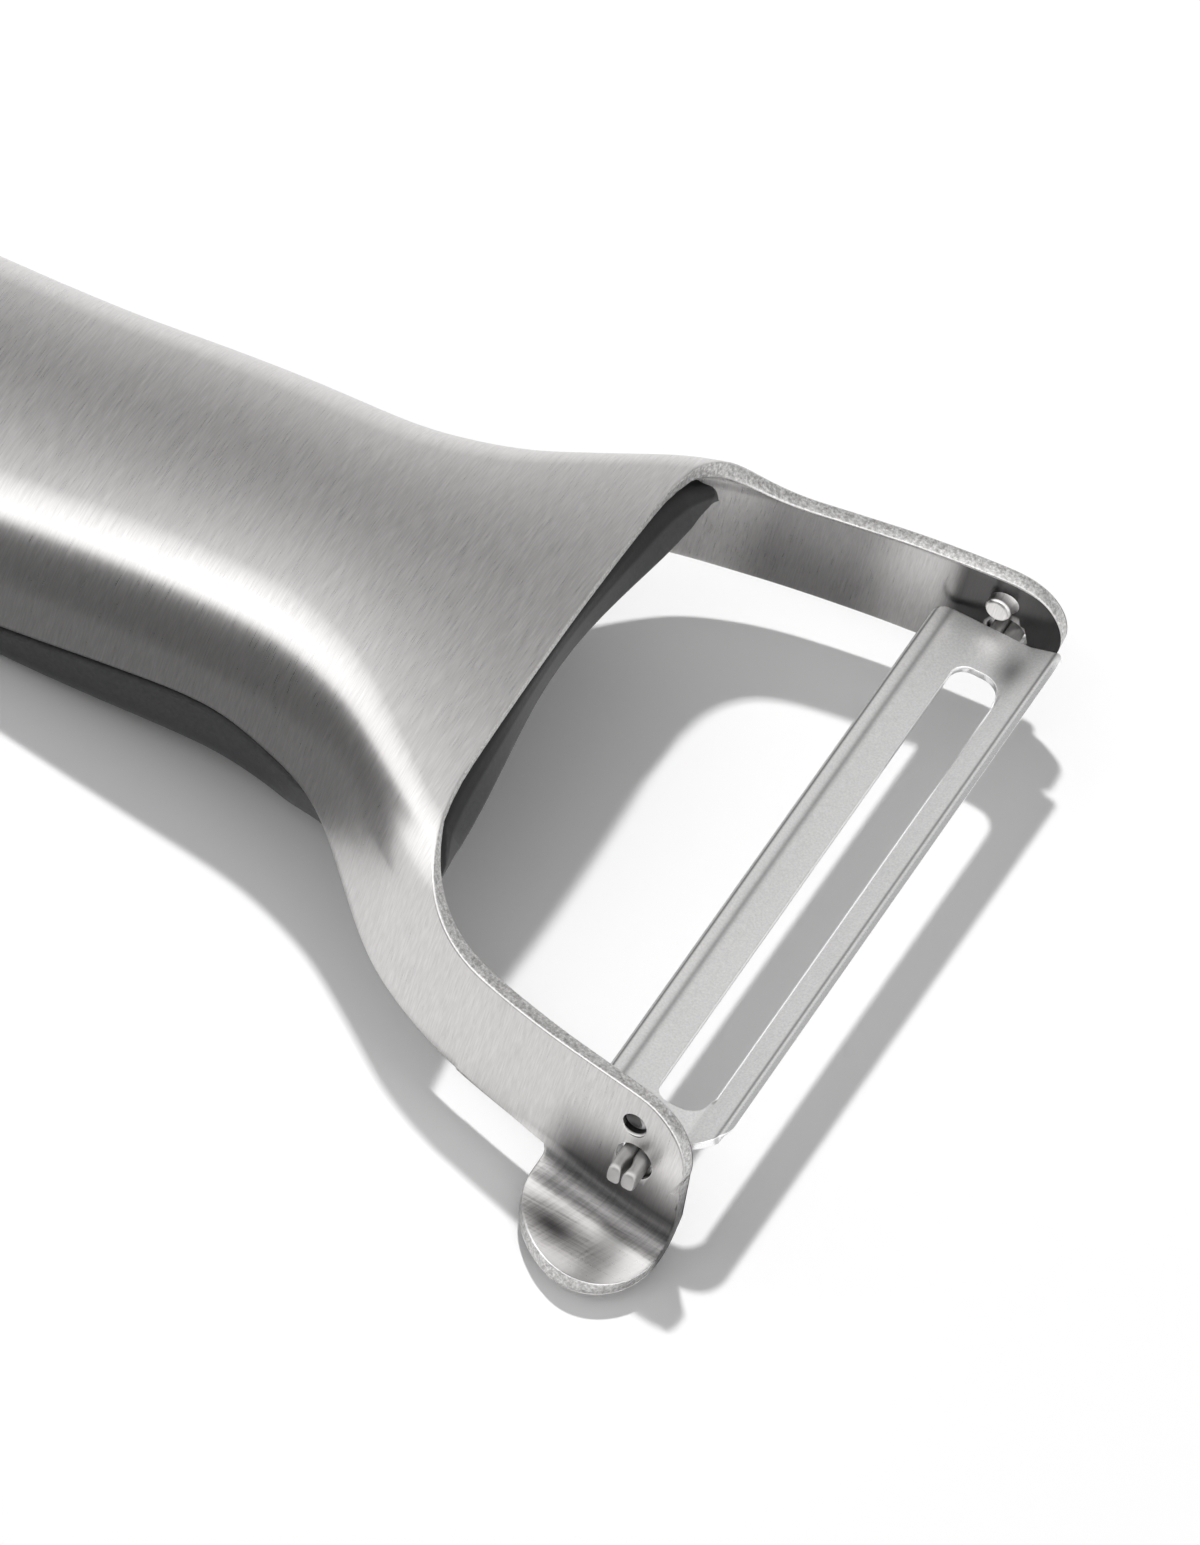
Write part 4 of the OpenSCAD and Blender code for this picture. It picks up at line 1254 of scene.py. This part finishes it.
class Finish:
    """A procedural material and the methods that add its nodes."""

    def __init__(self, name: str, **constants: float | tuple) -> None:
        """Starts a material with one Principled shader.

        Args:
            name: Name of the material.
            constants: Values set on the shader's own sockets, underscores for spaces.
        """
        self.material = bpy.data.materials.new(name)
        self.material.use_nodes = True
        self.tree = self.material.node_tree
        self.shader = next(n for n in self.tree.nodes if n.type == "BSDF_PRINCIPLED")
        for key, value in constants.items():
            self.shader.inputs[key.replace("_", " ")].default_value = value

    def node(self, kind: str, settings: dict, inputs: dict, output: int | str = 0) -> Value:
        """Adds a node.

        Args:
            kind: The node's type.
            settings: Properties, which are set first.
            inputs: Values or links for its sockets, by number or name.
            output: The socket that is returned.

        Returns:
            The output socket as a value.
        """
        node = self.tree.nodes.new(kind)
        for key, value in settings.items():
            setattr(node, key, value)
        for key, value in inputs.items():
            if isinstance(value, Value):
                self.tree.links.new(value.socket, node.inputs[key])
            else:
                node.inputs[key].default_value = value
        return Value(self, node.outputs[output])

    def feed(self, **values: Value) -> None:
        """Links values to the shader's sockets, underscores for spaces."""
        for key, value in values.items():
            self.tree.links.new(value.socket, self.shader.inputs[key.replace("_", " ")])

    def place(self, scale: tuple = (1, 1, 1), turn: float = 0) -> Value:
        """Object coordinates, turned round Z and then stretched.

        Args:
            scale: Scale on each axis.
            turn: Angle in degrees.

        Returns:
            The coordinates.
        """
        at = self.node("ShaderNodeTexCoord", {}, {}, "Object")
        if turn:
            at = self.node("ShaderNodeMapping", {}, {"Vector": at, "Rotation": (0, 0, radians(turn))})
        return self.node("ShaderNodeMapping", {}, {"Vector": at, "Scale": scale})

    def noise(self, scale: float, detail: float, rough: float = 0.5, place: Value | None = None) -> Value:
        """Noise between 0 and 1, by clouds in a metre, finer layers and their strength."""
        inputs = {"Vector": place or self.place(), "Scale": scale, "Detail": detail, "Roughness": rough}
        return self.node("ShaderNodeTexNoise", {"noise_dimensions": "3D"}, inputs, "Fac")

    def mark(self, name: str) -> Value:
        """A value that the mesh carries on its points."""
        settings = {"attribute_name": name, "attribute_type": "GEOMETRY"}
        return self.node("ShaderNodeAttribute", settings, {}, "Fac")

    def mix(self, share: Value, a: "Value | tuple", b: "Value | tuple") -> Value:
        """A colour between two."""
        inputs = {0: share} | {k: c if isinstance(c, Value) else (*c, 1) for k, c in ((6, a), (7, b))}
        return self.node("ShaderNodeMix", {"data_type": "RGBA", "clamp_factor": True}, inputs, 2)

    def shades(self, tone: Value, colour: tuple, span: tuple) -> Value:
        """A colour made darker or paler by a tone, from one share of it to another."""
        return self.mix(tone, *(times(colour, share) for share in span))

    def done(self, base: Value, rough: Value, height: Value, bump_h: float) -> Material:
        """Links colour, roughness and bumps to the shader.

        Args:
            base: Colour.
            rough: Roughness, which is kept between 0 and 1.
            height: Height of the bumps, between 0 and 1.
            bump_h: Height in metres that 1 stands for.

        Returns:
            The finished material.
        """
        normal = self.node("ShaderNodeBump", {}, {"Height": height, "Distance": bump_h, "Strength": 1.0})
        self.feed(Base_Color=base, Roughness=rough.held(), Normal=normal)
        return self.material


def times(colour: tuple, share: float) -> tuple:
    """A colour made darker or paler."""
    return tuple(share * c for c in colour)


@dataclass(frozen=True)
class BrushedSteel:
    """The body's steel: fine brushing across the handle, grainy cut edges and
    a scratched tab. Marks darken it where the photo has dark reflections. A
    stroke has a scale, a stretch on each axis and a turn in degrees."""

    shade: tuple = (0.595, 0.59, 0.585)
    warm: tuple = (0.62, 0.605, 0.60)
    # Colour of painted shade and painted dark reflections
    dark: tuple = (0.03, 0.029, 0.029)
    pale_tab: tuple = (0.95, 0.945, 0.94)
    cut_dark: tuple = (0.3, 0.295, 0.29)
    cut_pale: tuple = (0.8, 0.795, 0.79)
    tone_span: tuple = (0.78, 1.16)
    rough: float = 0.3
    across: tuple = (8200.0, (1, 0.05, 0.07), 0)
    slant: tuple = (4200.0, (1, 0.045, 0.06), 24)
    slant_back: tuple = (4600.0, (1, 0.045, 0.06), -20)
    scratch: tuple = (5200.0, (0.05, 1, 1), 0)
    brush_shares: tuple = (0.78, 0.13, 0.09)
    scratch_share: float = 0.55
    cloud_scale: float = 60.0
    grain_scale: float = 3600.0
    rough_fine: float = 0.17
    rough_cloud: float = 0.05
    rough_edge: float = 0.16
    rough_cut: float = 0.3
    brush_contrast: float = 1.7
    tab_contrast: float = 4.2
    cut_contrast: float = 2.6
    tab_cover: float = 0.85
    tab_dim: float = 2.2
    dim_cover: float = 0.8
    pit_cover: float = 0.85
    reflection_cover: float = 0.93
    brush_deep: float = 0.03
    bump_h: float = 0.000028

    def make(self) -> Material:
        """Builds the material. Brushing is noise stretched in one direction,
        with a little of it slanted both ways.

        Returns:
            The material.
        """
        g = Finish("brushed_steel", Metallic=1.0)
        strokes = (self.across, self.slant, self.slant_back, self.scratch)
        across, slant, back, along = (g.noise(scale, 3, 0.6, g.place(*way)) for scale, *way in strokes)
        cloud, grain = g.noise(self.cloud_scale, 2), g.noise(self.grain_scale, 3, 0.7)
        edge, tab, dim = g.mark("edge"), g.mark("tab"), g.mark("dim")
        streak = sum(noise * share for noise, share in zip((across, slant, back), self.brush_shares))
        scratched = along * self.scratch_share + slant * (1 - self.scratch_share)
        fine = streak * (1 - tab) + scratched * tab
        rough = self.rough + fine.swing(self.rough_fine) + cloud.swing(self.rough_cloud)
        rough += edge * self.rough_edge + grain.swing(edge * self.rough_cut)
        tone = fine.contrast(self.brush_contrast + tab * self.tab_contrast)
        low, high = self.tone_span
        base = g.mix(tone, times(self.shade, low), times(self.warm, high))
        # The tab is paler steel, except where painted shade lies
        base = g.mix((tab * (1 - dim * self.tab_dim)).held() * self.tab_cover, base, self.pale_tab)
        cut = g.mix(grain.contrast(self.cut_contrast), self.cut_dark, self.cut_pale)
        # Painted dark reflection, on the far arm's inner face only
        well = g.mark("well") * g.mark("inner") * self.reflection_cover
        # Painted shade along the tab's bend and in holes and recesses, with the far arm's painted dark
        # reflection, mixed towards dark
        dark = (dim * self.dim_cover + g.mark("pit") * self.pit_cover + well).held()
        base = g.mix(dark, g.mix(edge, base, cut), self.dark)
        return g.done(base, rough, fine * self.brush_deep * (1 - edge) + grain * edge, self.bump_h)


@dataclass(frozen=True)
class SatinSteel:
    """The blade's steel: a fine blasted grain, with bright ground edges, and painted shade along lines."""

    shade: tuple = (0.97, 0.965, 0.96)
    bright: tuple = (0.98, 0.98, 0.98)
    stud_shade: tuple = (0.42, 0.415, 0.41)
    line_shade: tuple = (0.08, 0.08, 0.08)
    line_cover: float = 0.75
    tone_span: tuple = (0.8, 1.1)
    contrast: float = 1.5
    rough: float = 0.5
    rough_grain: float = 0.14
    rough_ground: float = 0.26
    grain_scale: float = 5200.0
    cloud_scale: float = 160.0
    cloud_stretch: tuple = (1, 0.25, 1)
    cloud_swing: float = 0.3
    bump_h: float = 0.000006

    def make(self) -> Material:
        """Builds the material.

        Returns:
            The material.
        """
        g = Finish("satin_steel", Metallic=1.0)
        grain = g.noise(self.grain_scale, 3, 0.7)
        cloud = g.noise(self.cloud_scale, 3, place=g.place(self.cloud_stretch))
        ground = (g.mark("ground") + g.mark("edge")).held()
        tone = (grain.swing(self.contrast) + 0.5 + cloud.swing(self.cloud_swing)).held()
        base = g.mix(ground, g.shades(tone, self.shade, self.tone_span), self.bright)
        base = g.mix(g.mark("stud"), base, self.stud_shade)
        # Painted shade along the crease and edge lines, and the darker patch and rear
        base = g.mix((g.mark("line") * self.line_cover).held(), base, self.line_shade)
        rough = self.rough + grain.swing(self.rough_grain) - ground * self.rough_ground
        return g.done(base, rough, grain * (1 - ground), self.bump_h)


@dataclass(frozen=True)
class SoftRubber:
    """The grip's matt black elastomer, with a fine moulded grain."""

    shade: tuple = (0.04, 0.04, 0.041)
    gap_shadow_shade: tuple = (0.001, 0.001, 0.001)
    tone_span: tuple = (0.6, 2.0)
    rough: float = 0.52
    rough_grain: float = 0.16
    rough_cloud: float = 0.1
    grain_scale: float = 2600.0
    cloud_scale: float = 90.0
    bump_h: float = 0.00002

    def make(self) -> Material:
        """Builds the material.

        Returns:
            The material.
        """
        g = Finish("soft_rubber", Metallic=0.0, Specular_IOR_Level=0.45)
        grain, cloud = g.noise(self.grain_scale, 3, 0.65), g.noise(self.cloud_scale, 3)
        # Painted shadow, near black, where the mark lies
        base = g.mix(g.mark("seam"), g.shades(grain, self.shade, self.tone_span), self.gap_shadow_shade)
        rough = self.rough + grain.swing(self.rough_grain) + cloud.swing(self.rough_cloud)
        return g.done(base, rough, grain, self.bump_h)


@dataclass(frozen=True)
class StiffPlastic:
    """The core's dark moulded plastic."""

    shade: tuple = (0.05, 0.05, 0.052)
    tone_span: tuple = (0.8, 1.3)
    rough: float = 0.42
    rough_grain: float = 0.2
    grain_scale: float = 1500.0
    bump_h: float = 0.00002

    def make(self) -> Material:
        """Builds the material.

        Returns:
            The material.
        """
        g = Finish("stiff_plastic", Metallic=0.0)
        grain = g.noise(self.grain_scale, 3, 0.6)
        base = g.shades(grain, self.shade, self.tone_span)
        return g.done(base, self.rough + grain.swing(self.rough_grain), grain, self.bump_h)


# The studio


@dataclass
class Studio:
    """Floor, light and camera, in metres. A lamp has a direction, a distance,
    a size and a power in watts. The card is a fold along the handle's near
    side, on the floor and upright: a dark stand-in for shadow that only
    reflections show. The room's shades have a place on its ramp."""

    floor_side: float = 6.0
    floor_shade: tuple = (0.98, 0.98, 0.98)
    floor_span: tuple = (0.995, 1.0)
    floor_grain: float = 900.0
    centre: tuple = (0.08187, -0.00248, 0.01115)
    right: tuple = (0.864, 0.461, 0.201)
    back: tuple = (0.148, -0.614, 0.776)
    distance: float = 1.5
    pixels_per_mm: float = 12.46
    image_height: int = 1545
    sensor: float = 36.0
    lit: tuple = (0.06, 0, 0.01)
    key: tuple = ((-0.36, 0.4, 1.0), 1.6, (0.08, 0.08), 18)
    overhead: tuple = ((-0.148, -0.54, 0.83), 1.3, (1.0, 0.22), 1.2)
    card_x: tuple = (-0.2, 0.058)
    card_y: tuple = (-0.015, -0.031)
    card_z: tuple = (0.0004, 0.034)
    card_shade: tuple = (0.2, 0.2, 0.2, 1)
    room: float = 2.0
    room_fill: float = 0.62
    room_shades: tuple = (
        (0.0, 0.07), (0.05, 0.12), (0.1, 0.44), (0.15, 0.88), (0.32, 0.92), (0.5, 0.76), (0.62, 0.52),
        (0.69, 0.32), (0.76, 0.22), (0.85, 0.17), (0.89, 0.27), (0.945, 0.46), (1.0, 0.56),
    )

    def sheet(self, name: str, points: list, faces: list, finish: Material) -> Object:
        """A thin thing of the studio.

        Args:
            name: Its name.
            points: Its corners.
            faces: Its faces.
            finish: Its material.

        Returns:
            The object.
        """
        mesh = bpy.data.meshes.new(name)
        mesh.from_pydata(points, [], faces)
        mesh.materials.append(finish)
        thing = linked(name, mesh)
        return thing

    def floor(self) -> None:
        """A plain pale floor under the peeler."""
        h = self.floor_side / 2
        g = Finish("pale_floor", Roughness=0.9, Specular_IOR_Level=0.1)
        g.feed(Base_Color=g.shades(g.noise(self.floor_grain, 2), self.floor_shade, self.floor_span))
        self.sheet("floor", [(-h, -h, 0), (h, -h, 0), (h, h, 0), (-h, h, 0)], [(0, 1, 2, 3)], g.material)

    def card(self) -> None:
        """A folded grey card that only reflections show: a stand-in for shadow beside the handle, which the
        steel reflects as dark.
        """
        (x0, x1), (y0, y1), (z0, z1) = self.card_x, self.card_y, self.card_z
        points = [(x0, y0, z0), (x1, y0, z0), (x1, y1, z0), (x0, y1, z0), (x1, y1, z1), (x0, y1, z1)]
        grey = Finish("grey_card", Base_Color=self.card_shade, Roughness=1.0).material
        card = self.sheet("card", points, [(0, 3, 2, 1), (3, 5, 4, 2)], grey)
        card.visible_camera = card.visible_diffuse = card.visible_shadow = False

    def lamp(self, name: str, toward: tuple, far: float, size: tuple, power: float) -> Object:
        """A soft rectangular lamp that faces the peeler's head.

        Args:
            name: Name of the lamp.
            toward: Direction from the head to the lamp.
            far: Distance in metres.
            size: Width and height in metres.
            power: Power in watts.

        Returns:
            The lamp.
        """
        light = bpy.data.lights.new(name, "AREA")
        light.shape, light.size, light.size_y, light.energy = "RECTANGLE", *size, power
        way = Vector(toward).normalized()
        lamp = linked(name, light)
        place = Matrix.Translation(Vector(self.lit) + way * far)
        lamp.matrix_world = place @ way.to_track_quat("Z", "Y").to_matrix().to_4x4()
        return lamp

    def sky(self) -> None:
        """The room's light, a ramp over the direction's Y: darker on the
        viewer's side, pale low behind. Surfaces that scatter light get less of
        it than reflections do, so that shadows stay deep."""
        world = bpy.data.worlds.new("room")
        world.use_nodes = True
        nodes, links = world.node_tree.nodes, world.node_tree.links
        back = next(n for n in nodes if n.type == "BACKGROUND")
        at, parts, ramp = (nodes.new(f"ShaderNode{k}") for k in ("TexCoord", "SeparateXYZ", "ValToRGB"))
        path, shift, level = (nodes.new(f"ShaderNode{k}") for k in ("LightPath", "Math", "Math"))
        for node, factor, start in ((shift, 0.5, 0.5), (level, self.room_fill - self.room, self.room)):
            node.operation = "MULTIPLY_ADD"
            node.inputs[1].default_value, node.inputs[2].default_value = factor, start
        elements = ramp.color_ramp.elements
        for place, shade in self.room_shades:
            item = elements[0] if place == 0 else elements[-1] if place == 1 else elements.new(place)
            item.color = (shade, shade, shade, 1)
        for source, target in (
            (at.outputs["Generated"], parts.inputs[0]), (parts.outputs["Y"], shift.inputs[0]),
            (shift.outputs[0], ramp.inputs[0]), (ramp.outputs[0], back.inputs["Color"]),
            (path.outputs["Is Diffuse Ray"], level.inputs[0]), (level.outputs[0], back.inputs["Strength"]),
        ):
            links.new(source, target)
        bpy.context.scene.world = world

    def camera(self) -> None:
        """A long lens at the photograph's angle, turned about its axis."""
        back = Vector(self.back).normalized()
        up = back.cross(Vector(self.right).normalized()).normalized()
        data = bpy.data.cameras.new("camera")
        data.sensor_width = self.sensor
        data.lens = self.pixels_per_mm * self.distance / MM * self.sensor / self.image_height
        data.clip_start, data.clip_end = 0.1, 20.0
        camera = linked("camera", data)
        turn = Matrix((up.cross(back).normalized(), up, back)).transposed().to_4x4()
        camera.matrix_world = Matrix.Translation(Vector(self.centre) + back * self.distance) @ turn
        bpy.context.scene.camera = camera

    def make(self) -> None:
        """Builds the studio. The key lamp makes the shadows and isn't reflected."""
        self.floor()
        self.sky()
        self.lamp("key", *self.key).visible_glossy = False
        self.lamp("overhead", *self.overhead)
        self.card()
        self.camera()
        bpy.context.scene.view_settings.view_transform = "Standard"


# The whole peeler


@dataclass
class Peeler:
    """The whole peeler: its sub-assemblies in the order they are made."""

    body: PressedBody = field(default_factory=PressedBody)
    grip: SoftGrip = field(default_factory=SoftGrip)
    blade: SlottedBlade = field(default_factory=SlottedBlade)

    def dress(self, obj: Object, node: str, body: Body, finish: Material) -> None:
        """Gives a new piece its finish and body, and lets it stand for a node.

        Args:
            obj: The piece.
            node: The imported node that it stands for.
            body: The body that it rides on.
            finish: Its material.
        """
        obj.data.materials.clear()
        obj.data.materials.append(finish)
        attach(obj, body.value)
        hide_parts(node)
        log.info("%s: %d faces for %s", obj.name, len(obj.data.polygons), node)

    def make(self) -> None:
        """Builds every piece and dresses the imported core."""
        self.dress(self.body.make(), "body", Body.FRAME, BrushedSteel().make())
        self.dress(self.grip.make(), "grip", Body.FRAME, SoftRubber().make())
        self.dress(self.blade.make(), "blade", Body.SWIVEL, SatinSteel().make())
        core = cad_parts["grip_core"]
        core.data.materials.clear()
        core.data.materials.append(StiffPlastic().make())
        log.info("grip_core: %d faces, kept", len(core.data.polygons))


def corners(box: tuple) -> list[list[float]]:
    """A box's two corners as plain lists."""
    return [[float(v) for v in corner] for corner in box]


def main() -> None:
    """Builds the studio and the peeler."""
    logging.basicConfig(level=logging.INFO, format="%(name)s: %(message)s")
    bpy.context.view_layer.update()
    Studio().make()
    Peeler().make()
    bpy.context.view_layer.update()


if __name__ == "__main__":
    main()
